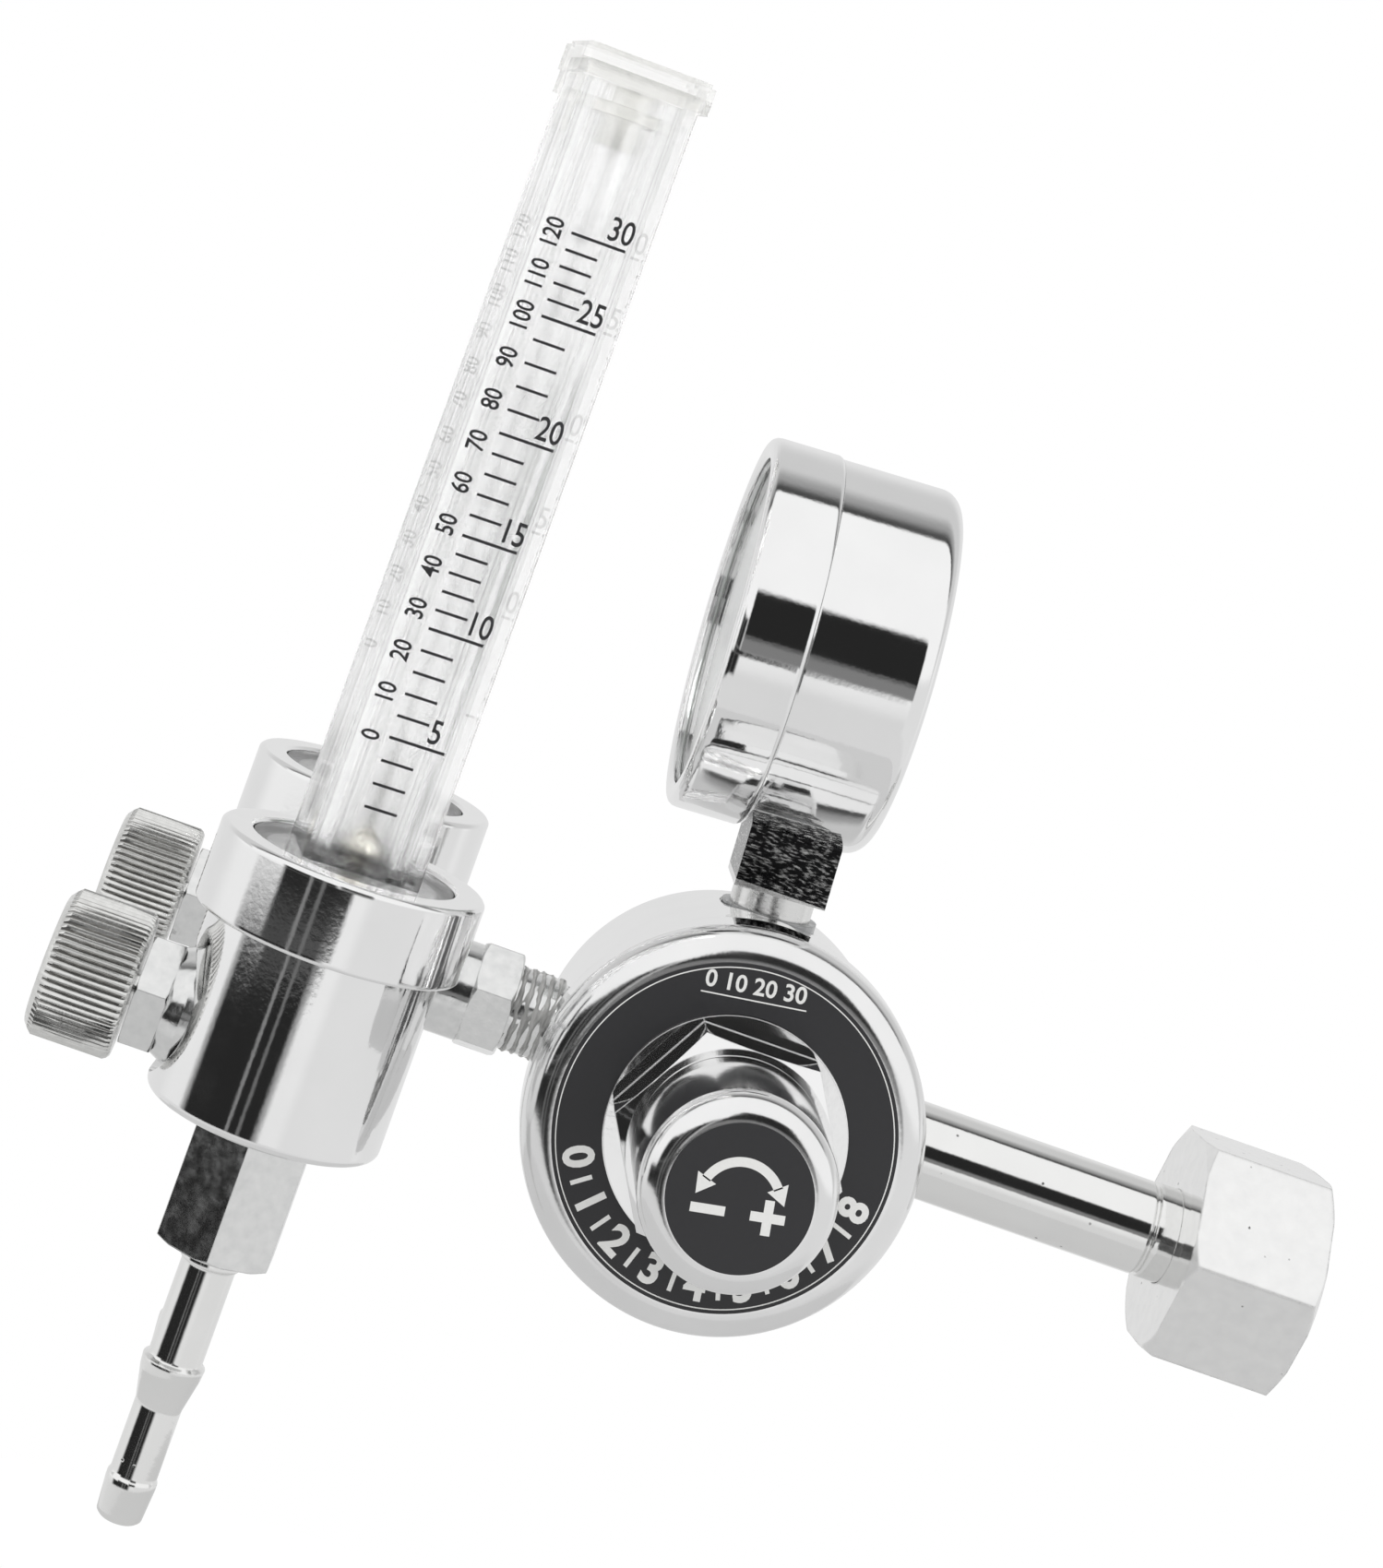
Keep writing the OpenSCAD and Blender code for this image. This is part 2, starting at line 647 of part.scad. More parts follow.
module cover_cap() color([0.82, 0.83, 0.84]) difference() {
    to_front() turned([[0, -y_hex + run_gap], [cap_r, -y_hex + run_gap],
        each edge_arc(cap_r, -y_cap, cap_edge_r),
        [0, -y_cap]]);
    rod_y(nose_r + run_gap, y_hex - cap_bore_len, y_hex + 1);
}

module cap_label() color([0.12, 0.12, 0.13]) rod_y(disc_r, y_cap - label_t, y_cap);

module adjusting_screw() color([0.6, 0.6, 0.58]) difference() {
    rod_y(adjuster_r, y_adjuster, y_button);
    translate([-adjuster_r - 1, y_adjuster - 1, -0.6]) cube([2 * adjuster_r + 2, 3, 1.2]);
}

module spring_button() color([0.7, 0.6, 0.35]) rod_y(pocket_r - 0.4, y_button, y_button + button_t);

module main_spring() color([0.35, 0.36, 0.38])
    to_front() coil(spring_r, spring_wire / 2, -y_plate, -y_button - button_t, spring_turns);

module diaphragm_plate() color([0.75, 0.65, 0.38]) union() {
    rod_y(dplate_r, y_plate, y_diaphragm);
    rod_y(rivet_r, y_diaphragm, y_ledge);
    rod_y(head_r, y_ledge, y_ledge + head_t);
}

module diaphragm() color([0.13, 0.13, 0.13]) difference() {
    rod_y(skirt_r - 0.2, y_diaphragm, y_ledge);
    rod_y(rivet_r + run_gap, y_diaphragm - 1, y_ledge + 1);
}

module slip_ring() color([0.75, 0.75, 0.72]) difference() {
    rod_y(skirt_r - 0.2, y_slip, y_diaphragm);
    rod_y(skirt_r - skirt_wall, y_slip - 1, y_diaphragm + 1);
}

module valve_seat() color([0.75, 0.65, 0.38]) difference() {
    rod_y(seat_r, y_floor, y_seat_back);
    rod_y(orifice_r, y_floor - 1, y_seat_back + 1);
}

module valve_poppet() color([0.7, 0.62, 0.4]) union() {
    rod_y(pin_r, y_ledge + head_t + 0.02, y_poppet);
    rod_y(poppet_r, y_poppet, y_poppet + poppet_t);
    rod_y(poppet_stem_r, y_poppet + poppet_t, y_plug + poppet_stem_in);
}

module poppet_spring() color([0.6, 0.6, 0.6])
    to_front() coil(2.4, 0.3, -y_plug, -y_poppet - poppet_t, 5);

module rear_plug() color([0.8, 0.81, 0.82]) difference() {
    union() {
        rod_y(plug_r, y_plug, hub_back);
        rotate([-90, 0, 0]) hex_bar(plug_af, hub_back, hub_back + plug_head, 0, 1);
    }
    rod_y(poppet_stem_r + run_gap, y_plug - 1, y_plug + poppet_stem_in + valve_gap + 1);
}

module inlet_pipe() color([0.82, 0.83, 0.84]) difference() {
    union() {
        rod_x(pipe_r, x_pipe_in, nut_x - collar_len - groove_len);
        rod_x(pipe_r - groove_d, nut_x - collar_len - groove_len, nut_x - collar_len);
        rod_x(collar_pipe_r, nut_x - collar_len, x_shoulder);
        rod_x(shoulder_ring_r, x_shoulder, x_nose);
        rod_x(nose_tip_r, x_nose, x_inlet_end);
    }
    rod_x(pipe_bore_r, x_pipe_in - 1, x_inlet_end + 1);
    rod_x(filter_r + thread_gap, x_inlet_end - filter_len - 1, x_inlet_end + 1);
}

module inlet_filter() color([0.62, 0.45, 0.25])
    rod_x(filter_r, x_inlet_end - filter_len - 1, x_inlet_end - 1);

module inlet_gasket() color([0.85, 0.84, 0.8]) difference() {
    rod_x(shoulder_ring_r - 0.2, x_nose, x_nose + gasket_t);
    rod_x(nose_tip_r + thread_gap, x_nose - 1, x_nose + gasket_t + 1);
}

module inlet_nut() color([0.78, 0.79, 0.8]) difference() {
    rotate([0, 90, 0]) rotate([0, 0, nut_turn]) hex_bar(nut_af, nut_x, nut_x + nut_len, nut_bevel, nut_bevel);
    rod_x(collar_pipe_r + run_gap, nut_x - 1, nut_x + nut_wall + 1);
    rod_x(nut_thread_r + 0.5, nut_x + nut_wall, x_inlet_end);
    rod_x(nut_thread_r, x_inlet_end - 1, nut_x + nut_len + 1);
}

module outlet_union() color([0.8, 0.81, 0.82]) difference() {
    union() {
        rod_x(out_thread_r, x_out_hex - 1, -hub_r + out_depth);
        rotate([0, -90, 0]) rotate([0, 0, out_hex_turn])
            hex_bar(out_hex_af, -x_out_hex, -x_out_pipe, 0.9, 0.9);
        rod_x(out_pipe_r, x_boss, x_out_pipe + 1);
        rod_x(spigot_r, x_boss - spigot_len, x_boss + 1);
    }
    rod_x(out_bore_r, x_boss - spigot_len - 1, -hub_r + out_depth + 1);
}

module manifold() color([0.8, 0.81, 0.82]) translate([-meter_x, 0, 0]) difference() {
    union() {
        rod_y(manifold_r, -y_spot, y_spot);
        rod_y(spigot_r, -y_spot - spigot_len, y_spot + spigot_len);
        rod_x(manifold_boss_r, 0, manifold_reach);
    }
    rod_y(out_bore_r, -y_spot - spigot_len - 1, y_spot + spigot_len + 1);
    rod_x(out_bore_r, 0, manifold_reach + 1);
    rod_x(spigot_r + thread_gap, manifold_reach - spigot_len, manifold_reach + 1);
}

module at_gauge() {
    lean_frame() translate([0, 0, gauge_z]) children();
}

module gauge_case() color([0.82, 0.83, 0.84]) at_gauge() difference() {
    rotate([0, 90, 0]) turned([[0, x_bezel_back], [case_r, x_bezel_back],
        each edge_arc(case_r, case_back, case_edge_r),
        [0, case_back]]);
    rod_x(gauge_in_r, x_bezel_back - 1, case_back - case_wall);
    translate([-square_w / 2 - 0.1, -square_w / 2 - 0.1, z_square - gauge_z])
        cube([square_w + 0.2, square_w + 0.2, square_h + 0.1]);
    translate([x_head - 0.1, -head_half - 0.1, z_shelf - gauge_z])
        cube([head_depth + 0.2, 2 * head_half + 0.2, 0.4 * head_h]);
}

module gauge_bezel() color([0.82, 0.83, 0.84]) at_gauge() difference() {
    rotate([0, 90, 0]) turned([[0, -bezel_x], [bezel_r - 1.2, -bezel_x], [bezel_r - 0.5, -bezel_x + 0.3],
        [bezel_r - 0.1, -bezel_x + 0.9], [bezel_r, -bezel_x + 1.6], [bezel_r, x_bezel_back],
        [0, x_bezel_back]]);
    rod_x(window_r, -bezel_x - 1, x_lens + 0.4);
    rod_x(gauge_in_r, x_lens, x_bezel_back + 1);
}

module gauge_lens() color([0.9, 0.95, 0.97, 0.3]) at_gauge()
    rod_x(gauge_in_r - thread_gap, x_lens, x_lens + lens_t);

module gauge_dial() color([0.95, 0.95, 0.94]) at_gauge() difference() {
    rod_x(dial_r, x_dial, x_dial + dial_t);
    rod_x(axle_r + 0.6, x_dial - 1, x_dial + dial_t + 1);
    for (s = [-1, 1]) translate([0, s * screw_y, 0]) rod_x(0.6, x_dial - 1, x_dial + dial_t + 1);
}

// Gear of straight sided teeth about X between two stations, over the given teeth
module gear_x(pitch_r, teeth, first, last, x0, x1, deg0) {
    step = 360 / teeth;
    m = 2 * pitch_r / teeth;
    translate([x0, 0, 0]) rotate([0, 90, 0]) linear_extrude(x1 - x0) union() {
        if (last - first + 1 >= teeth) circle(r = pitch_r - 1.1 * m, $fn = 48);
        for (i = [first:last]) rotate(deg0 + i * step) polygon([
            [pitch_r - 1.3 * m, -0.62 * m], [pitch_r, -0.5 * m], [pitch_r + 0.75 * m, -0.26 * m],
            [pitch_r + 0.75 * m, 0.26 * m], [pitch_r, 0.5 * m], [pitch_r - 1.3 * m, 0.62 * m]]);
    }
}

module gauge_pointer() color([0.15, 0.15, 0.16]) at_gauge() union() {
    rod_x(axle_r, x_dial - 2.4, x_head - 0.1);
    rod_x(1.8, x_dial - 2.8, x_dial - 1.4);
    rotate([-135, 0, 0]) translate([x_dial - 2.3, -0.55, -pointer_tail]) cube([0.5, 1.1, pointer_tail]);
    rotate([-135, 0, 0]) translate([x_dial - 2.3, 0, 0]) rotate([90, 0, 90]) linear_extrude(0.5)
        polygon([[-0.7, 0], [0.7, 0], [0.2, pointer_len], [-0.2, pointer_len]]);
    gear_x(pinion_r, pinion_teeth, 0, pinion_teeth - 1, x_gear - 0.1, x_gear + 1.1, 180 / pinion_teeth);
}

module sector_gear() color([0.75, 0.65, 0.38]) at_gauge() translate([0, 0, z_sector]) difference() {
    union() {
        rod_x(axle_r, x_plate_front + 0.1, x_head - 0.1);
        rod_x(1.7, x_gear, x_gear + 1);
        gear_x(sector_r, pinion_teeth * sector_ratio, -2, 11, x_gear, x_gear + 1, 180);
        translate([x_gear, 0, 0]) rotate([90, 0, 90]) linear_extrude(1) polygon(concat([[0, 0]],
            [for (i = [-2:11]) let (a = i * 360 / pinion_teeth / sector_ratio, r = sector_r - 1.2 * gear_m)
            [-r * sin(a), r * cos(a)]]));
        translate([x_gear, -tail_arm - 1.4, -1]) cube([1, tail_arm + 1.4, 2]);
    }
    translate([0, -tail_arm, 0]) rod_x(link_pin_r + run_gap, x_gear - 1, x_gear + 2);
}

module drive_link() color([0.75, 0.65, 0.38]) at_gauge() {
    a = [-tail_arm, z_sector];
    b = [bourdon_r * cos(link_angle), bourdon_r * sin(link_angle)];
    difference() {
        union() {
            translate([0, a[0], a[1]]) rod_x(1.1, link_x, link_x + 0.6);
            translate([0, b[0], b[1]]) rod_x(1.1, link_x, link_x + 0.6);
            translate([link_x, 0, 0]) rotate([90, 0, 90]) linear_extrude(0.6)
                polygon([[a[0] - 0.6, a[1]], [a[0] + 0.6, a[1]], [b[0] + 0.6, b[1]], [b[0] - 0.6, b[1]]]);
            translate([0, a[0], a[1]]) rod_x(link_pin_r, link_x - 1, link_x + 0.2);
        }
        translate([0, b[0], b[1]]) rod_x(link_pin_r + run_gap, link_x - 1, link_x + 1);
    }
}

module stem_head() {
    translate([x_head, -head_half, z_shelf - gauge_z]) cube([head_depth, 2 * head_half, head_h]);
}

module bourdon_tube() color([0.78, 0.66, 0.36]) at_gauge() union() {
    difference() {
        translate([x_head + 1.2, 0, 0]) rotate([0, 90, 0]) rotate([0, 0, bourdon_start + 90])
            rotate_extrude(angle = bourdon_end - bourdon_start) translate([bourdon_r - 0.9, 0])
                square([1.8, 7]);
        stem_head();
    }
    translate([0, bourdon_r * cos(link_angle), bourdon_r * sin(link_angle)])
        rod_x(link_pin_r, link_x - 0.2, x_head + 2);
}

module movement_frame() color([0.75, 0.65, 0.38]) at_gauge() difference() {
    union() {
        for (x = [x_plate_front, x_plate_back]) translate([x, -plate_half, z_plate])
            cube([plate_thick, 2 * plate_half, plate_top - z_plate]);
        for (y = [-1, 1]) for (z = [plate_top - 2, z_plate + 1.6])
            translate([0, y * (plate_half - 2.5), z]) rod_x(1.2, x_plate_front, x_head);
    }
    rod_x(axle_r + run_gap, x_plate_front - 1, x_head + 1);
    translate([0, 0, z_sector]) rod_x(axle_r + run_gap, x_plate_front - 1, x_head + 1);
    for (s = [-1, 1]) translate([0, s * screw_y, 0]) rod_x(0.55, x_plate_front - 1, x_plate_front + 2);
}

module dial_screws() color([0.7, 0.7, 0.7]) at_gauge() for (s = [-1, 1]) translate([0, s * screw_y, 0]) {
    rod_x(1.3, x_dial - 0.7, x_dial);
    rod_x(0.5, x_dial, x_plate_front + 1);
}

module gauge_stem() color([0.8, 0.81, 0.82]) lean_frame() difference() {
    union() {
        translate([-square_w / 2, -square_w / 2, z_square]) cube([square_w, square_w, square_h]);
        rod_z(neck_r, z_washer + washer_t, z_square);
        rod_z(stem_thread_r, z_washer - stem_thread_len, z_washer + washer_t);
        translate([0, 0, gauge_z]) stem_head();
    }
    rod_z(1.2, z_washer - stem_thread_len - 1, z_shelf + 6);
}

module gauge_washer() color([0.6, 0.6, 0.59]) lean_frame() difference() {
    rod_z(washer_r, z_washer, z_washer + washer_t);
    rod_z(stem_thread_r + thread_gap, z_washer - 1, z_washer + washer_t + 1);
}

// Places a flowmeter piece on the front axis for -1 and on the rear axis for 1
module at_meter(s) {
    translate([-meter_x, s * meter_y, 0]) children();
}

module rounded_square(w, r) {
    square([w - 2 * r, w], center = true);
    square([w, w - 2 * r], center = true);
    for (x = [-1, 1]) for (y = [-1, 1]) translate([x * (w / 2 - r), y * (w / 2 - r)]) circle(r);
}

// Square groove round Z of the given width, centred on a radius
module ring_groove(mid_r, z0, depth) {
    rotate_extrude() translate([mid_r - 1, z0]) square([2, depth]);
}

module housing(s) color([0.82, 0.83, 0.84]) at_meter(s) difference() {
    turned([[0, -housing_low],
        for (a = [-90:15:0]) [housing_r - 1.2 + 1.2 * cos(a), -housing_low + 1.2 + 1.2 * sin(a)],
        [housing_r, seam_z], [thread_neck_r, seam_z], [thread_neck_r, z_neck], [0, z_neck]]);
    rotate([0, 0, s > 0 ? 180 : 0]) {
        rod_y(manifold_r + spot_room, meter_y - y_spot, housing_r + 1);
        rod_y(spigot_r + thread_gap, meter_y - y_spot - spigot_len - 0.1, housing_r);
        rod_y(duct_r - 0.3, 0, housing_r - 2);
    }
    rod_z(duct_r, -duct_r - 0.5, z_foot + 1);
    rod_z(foot_r + thread_gap, z_foot, z_neck + 1);
    rod_z(foot_room_r, z_neck - 2, z_neck + 1);
    translate([-foot_room_r + 1.4, 0, 0]) rod_z(1, -needle_low, z_neck);
    ring_groove(seal_ring_r, z_neck - 1.2, 2);
    translate([0, 0, -needle_low]) {
        rod_x(spot_r, -housing_r - 1, x_spot);
        rod_x(gland_thread_r + thread_gap, x_spot - 1, x_spot + gland_depth + 0.1);
        rod_x(needle_r + 1, x_spot + gland_depth - 1, x_seat);
        rod_x(needle_hole_r, x_seat - 1, 0);
    }
    rod_z(duct_r + 0.2, -housing_low - 1, -needle_low + needle_hole_r + 0.4);
    rod_z(union_thread_r + thread_gap, -housing_low - 1, -housing_low + union_thread_len + 0.3);
}

module collar(s) color([0.82, 0.83, 0.84]) at_meter(s) difference() {
    turned([[0, seam_z], [collar_r - 0.3, seam_z], [collar_r, seam_z + 0.3], [collar_r, rim_z - 0.5],
        [collar_r - 0.5, rim_z], [0, rim_z]]);
    rod_z(opening_r, seam_z, rim_z + 1);
    rod_z(thread_neck_r + thread_gap, seam_z - 1, z_flange);
}

module cover_tube(s, turn) color([0.9, 0.93, 0.94, 0.35]) at_meter(s) difference() {
    union() {
        rod_z(thread_neck_r - 0.1, z_neck + 0.6, z_flange);
        rod_z(opening_r - 0.1, z_flange, rim_z - 0.4);
        rotate([0, 0, turn]) translate([0, 0, rim_z - 0.5]) linear_extrude(tube_top - rim_z + 0.5)
            rounded_square(tube_w, 0.8);
    }
    rod_z(tube_bore_r, z_neck - 1, tube_top - 2);
}

module tube_cap(s, turn) color([0.9, 0.93, 0.94, 0.4]) at_meter(s) rotate([0, 0, turn]) difference() {
    union() {
        translate([0, 0, z_cap]) linear_extrude(tube_cap_h - 0.6) rounded_square(cap_w, 1.8);
        translate([0, 0, z_cap]) linear_extrude(tube_cap_h) rounded_square(cap_w - 1.2, 1.4);
    }
    translate([0, 0, z_cap - 1]) linear_extrude(tube_top - z_cap + 1) rounded_square(tube_w + 0.1, 0.8);
}

module metering_tube(s) color([0.9, 0.93, 0.94, 0.35]) at_meter(s) difference() {
    union() {
        rod_z(foot_r, z_foot, z_foot + 5);
        rod_z(meter_tube_r, z_foot, z_stop + 4);
    }
    rod_z(seat_hole_r, z_foot - 1, seat_z + 1);
    turned([[0, seat_z], [bore_low_r, seat_z], [bore_top_r, z_stop + 5], [0, z_stop + 5]]);
    ring_groove(foot_r - 0.2, z_foot + 1.5, 1.4);
}

module float_ball(s) color([0.75, 0.75, 0.72]) at_meter(s) translate([0, 0, z_ball]) sphere(ball_r);

module top_stop(s) color([0.9, 0.9, 0.88, 0.6]) at_meter(s) union() {
    rod_z(bore_top_r - 0.6, z_stop, z_stop + 4);
    rod_z(tube_bore_r - 0.1, z_stop + 4, z_stop + 5.6);
    rod_z(4, z_stop + 5.6, tube_top - 2);
}

module seal_rings(s) color([0.1, 0.1, 0.1]) at_meter(s) {
    rotate_extrude() translate([seal_ring_r, z_neck - 0.3]) circle(0.88);
    rotate_extrude() translate([foot_r - 0.62, z_foot + 2.2]) circle(0.58);
}

module needle(s) color([0.75, 0.7, 0.55]) at_needle(s)
    turned([[0, -x_seat - 0.7], [0.6, -x_seat - 0.7], [needle_r, -x_seat - 0.65 + needle_travel],
        [needle_r, -x_knob + knob_bore_len], [0, -x_knob + knob_bore_len]]);

// Moves a piece that is drawn along Z to the needle axis, so that Z points to the knob
module at_needle(s) {
    at_meter(s) translate([0, 0, -needle_low]) rotate([0, -90, 0]) children();
}

module gland(s) color([0.8, 0.81, 0.82]) at_needle(s) difference() {
    union() {
        turned([[0, -x_spot - gland_depth], [gland_thread_r, -x_spot - gland_depth],
            [gland_thread_r, -x_spot], [gland_flange_r, -x_spot], [gland_flange_r, -x_spot + gland_flange_t],
            [gland_af / 2, -x_cone], [0, -x_cone]]);
        rotate([0, 0, gland_turn]) hex_bar(gland_af, -x_cone, -x_gland, 0.5, 0.5);
    }
    rod_z(needle_r + run_gap, -x_spot - gland_depth - 1, -x_gland + 1);
}

module knob(s) color([0.7, 0.71, 0.72]) at_needle(s) difference() {
    intersection() {
        translate([0, 0, -x_knob]) linear_extrude(knob_len) polygon([for (i = [0:2 * knob_grooves - 1])
            let (a = i * 180 / knob_grooves, r = knob_r - (i % 2) * knob_groove_d) [r * cos(a), r * sin(a)]]);
        turned([[0, -x_knob], [knob_r - 0.6, -x_knob], [knob_r + 0.1, -x_knob + 0.7],
            [knob_r + 0.1, -x_knob + knob_len - knob_bevel], [knob_r - knob_bevel, -x_knob + knob_len],
            [0, -x_knob + knob_len]]);
    }
    rod_z(needle_r + run_gap, -x_knob - 1, -x_knob + knob_bore_len + 0.1);
}

module union_nut(s) color([0.8, 0.81, 0.82]) at_meter(s) difference() {
    union() {
        rotate([0, 0, union_turn]) hex_bar(union_af, z_union, -housing_low, 0.9, 0.9);
        rod_z(union_thread_r, -housing_low - 1, -housing_low + union_thread_len);
    }
    rod_z(tail_collar_r + 0.1, z_union - 1, z_lip + 1);
    rod_z(tail_flange_r + 0.1, z_lip - 0.05, -housing_low + union_thread_len + 1);
}

module hose_tail(s) color([0.82, 0.83, 0.84]) at_meter(s) difference() {
    turned([[0, z_tip], [ridge_low_r - 0.9, z_tip], [ridge_low_r - 0.35, z_tip + 0.6],
        [ridge_low_r, z_ridge_low - 0.8], [ridge_low_r, z_ridge_low], [tail_low_r, z_ridge_low + 0.4],
        [tail_low_r, z_tail_low], [ridge_top_r - 0.15, z_ridge - 1.9], [ridge_top_r, z_ridge - 0.4],
        [tail_top_r, z_ridge], [tail_top_r, z_tail_top], [tail_collar_r, z_tail_top], [tail_collar_r, z_lip],
        [tail_flange_r, z_lip], [tail_flange_r, z_lip + tail_flange_t], [0, z_lip + tail_flange_t]]);
    rod_z(tail_bore_r, z_tip - 1, z_lip + tail_flange_t + 1);
}

placed() regulator_body();
placed() bonnet();
placed() bonnet_label();
placed() hex_bush();
placed() cover_cap();
placed() cap_label();
placed() adjusting_screw();
placed() spring_button();
placed() main_spring();
placed() diaphragm_plate();
placed() diaphragm();
placed() slip_ring();
placed() valve_seat();
placed() valve_poppet();
placed() poppet_spring();
placed() rear_plug();
placed() inlet_filter();
placed() inlet_pipe();
placed() inlet_nut();
placed() inlet_gasket();
placed() outlet_union();
placed() manifold();
placed() gauge_case();
placed() gauge_bezel();
placed() gauge_lens();
placed() gauge_dial();
placed() gauge_pointer();
placed() gauge_stem();
placed() bourdon_tube();
placed() drive_link();
placed() sector_gear();
placed() movement_frame();
placed() dial_screws();
placed() gauge_washer();
placed() housing(-1);  // front_housing
placed() collar(-1);  // front_collar
placed() cover_tube(-1, front_turn);  // front_cover_tube
placed() tube_cap(-1, front_turn);  // front_tube_cap
placed() metering_tube(-1);  // front_metering_tube
placed() float_ball(-1);  // front_float_ball
placed() top_stop(-1);  // front_top_stop
placed() seal_rings(-1);  // front_seal_rings
placed() needle(-1);  // front_needle
placed() gland(-1);  // front_gland
placed() knob(-1);  // front_knob
placed() union_nut(-1);  // front_union_nut
placed() hose_tail(-1);  // front_hose_tail
placed() housing(1);  // rear_housing
placed() collar(1);  // rear_collar
placed() cover_tube(1, rear_turn);  // rear_cover_tube
placed() tube_cap(1, rear_turn);  // rear_tube_cap
placed() metering_tube(1);  // rear_metering_tube
placed() float_ball(1);  // rear_float_ball
placed() top_stop(1);  // rear_top_stop
placed() seal_rings(1);  // rear_seal_rings
placed() needle(1);  // rear_needle
placed() gland(1);  // rear_gland
placed() knob(1);  // rear_knob
placed() union_nut(1);  // rear_union_nut
placed() hose_tail(1);  // rear_hose_tail
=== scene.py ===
"""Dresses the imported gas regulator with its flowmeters: finishes, prints, turned skins, studio and camera."""
import logging
import math
from dataclasses import dataclass, field
from enum import Enum

import bpy
import bmesh
from mathutils import Matrix, Vector


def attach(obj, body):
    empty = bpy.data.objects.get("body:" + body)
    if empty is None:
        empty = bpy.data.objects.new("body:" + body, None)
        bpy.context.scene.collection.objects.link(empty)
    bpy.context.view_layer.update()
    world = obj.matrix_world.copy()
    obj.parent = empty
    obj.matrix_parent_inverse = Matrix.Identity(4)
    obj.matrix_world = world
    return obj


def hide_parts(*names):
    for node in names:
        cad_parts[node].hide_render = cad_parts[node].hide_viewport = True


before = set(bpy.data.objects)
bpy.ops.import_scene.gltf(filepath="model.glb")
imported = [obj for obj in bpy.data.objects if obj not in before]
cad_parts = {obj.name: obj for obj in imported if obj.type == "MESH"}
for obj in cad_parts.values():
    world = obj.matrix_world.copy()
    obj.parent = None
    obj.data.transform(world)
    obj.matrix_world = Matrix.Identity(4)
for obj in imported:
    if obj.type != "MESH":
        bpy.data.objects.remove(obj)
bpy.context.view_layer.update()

LOG = logging.getLogger("regulator")
MM = 0.001
ORIGIN_X = -84.99  # the drum axis, measured from the middle of the inlet nut's free thread, mm
Point = tuple[float, float]


class Axis(Enum):
    """Which way a turned piece's own axis points in the row frame."""

    UP = "up"
    FRONT = "front"
    INLET = "inlet"
    KNOB = "knob"


def linear(hex_colour: str) -> tuple[float, float, float, float]:
    """Turns an sRGB hex colour into linear RGBA.

    Args:
        hex_colour: Six hex digits with a leading #.

    Returns:
        Red, green and blue as linear light, and an alpha of 1.
    """
    parts = [int(hex_colour[i:i + 2], 16) / 255 for i in (1, 3, 5)]
    light = [p / 12.92 if p <= 0.04045 else ((p + 0.055) / 1.055) ** 2.4 for p in parts]
    return (light[0], light[1], light[2], 1.0)


def add(tree: bpy.types.NodeTree, kind: str, settings: dict | None = None,
        links: dict | None = None) -> bpy.types.Node:
    """Adds one node with its settings and its incoming links.

    Args:
        tree: The node tree it goes into.
        kind: The node's Blender type name.
        settings: Properties by name, and input values by input name or number.
        links: Output sockets by the input name or number that they feed.

    Returns:
        The new node.
    """
    node = tree.nodes.new(kind)
    for key, value in (settings or {}).items():
        if isinstance(key, str) and hasattr(node, key):
            setattr(node, key, value)
        else:
            node.inputs[key].default_value = value
    for key, socket in (links or {}).items():
        tree.links.new(socket, node.inputs[key])
    return node


def new_material(name: str) -> tuple[bpy.types.Material, bpy.types.NodeTree, bpy.types.Node]:
    """Makes an empty node material.

    Args:
        name: The material's name.

    Returns:
        The material, its tree and its Principled shader, which is linked to the output.
    """
    material = bpy.data.materials.new(name)
    material.use_nodes = True
    tree = material.node_tree
    tree.nodes.clear()
    shader = add(tree, "ShaderNodeBsdfPrincipled")
    add(tree, "ShaderNodeOutputMaterial", links={"Surface": shader.outputs["BSDF"]})
    return material, tree, shader


def per_mm(size_mm: float) -> float:
    """Texture scale, per metre, that gives a feature of this size in millimetres."""
    return 1000.0 / size_mm


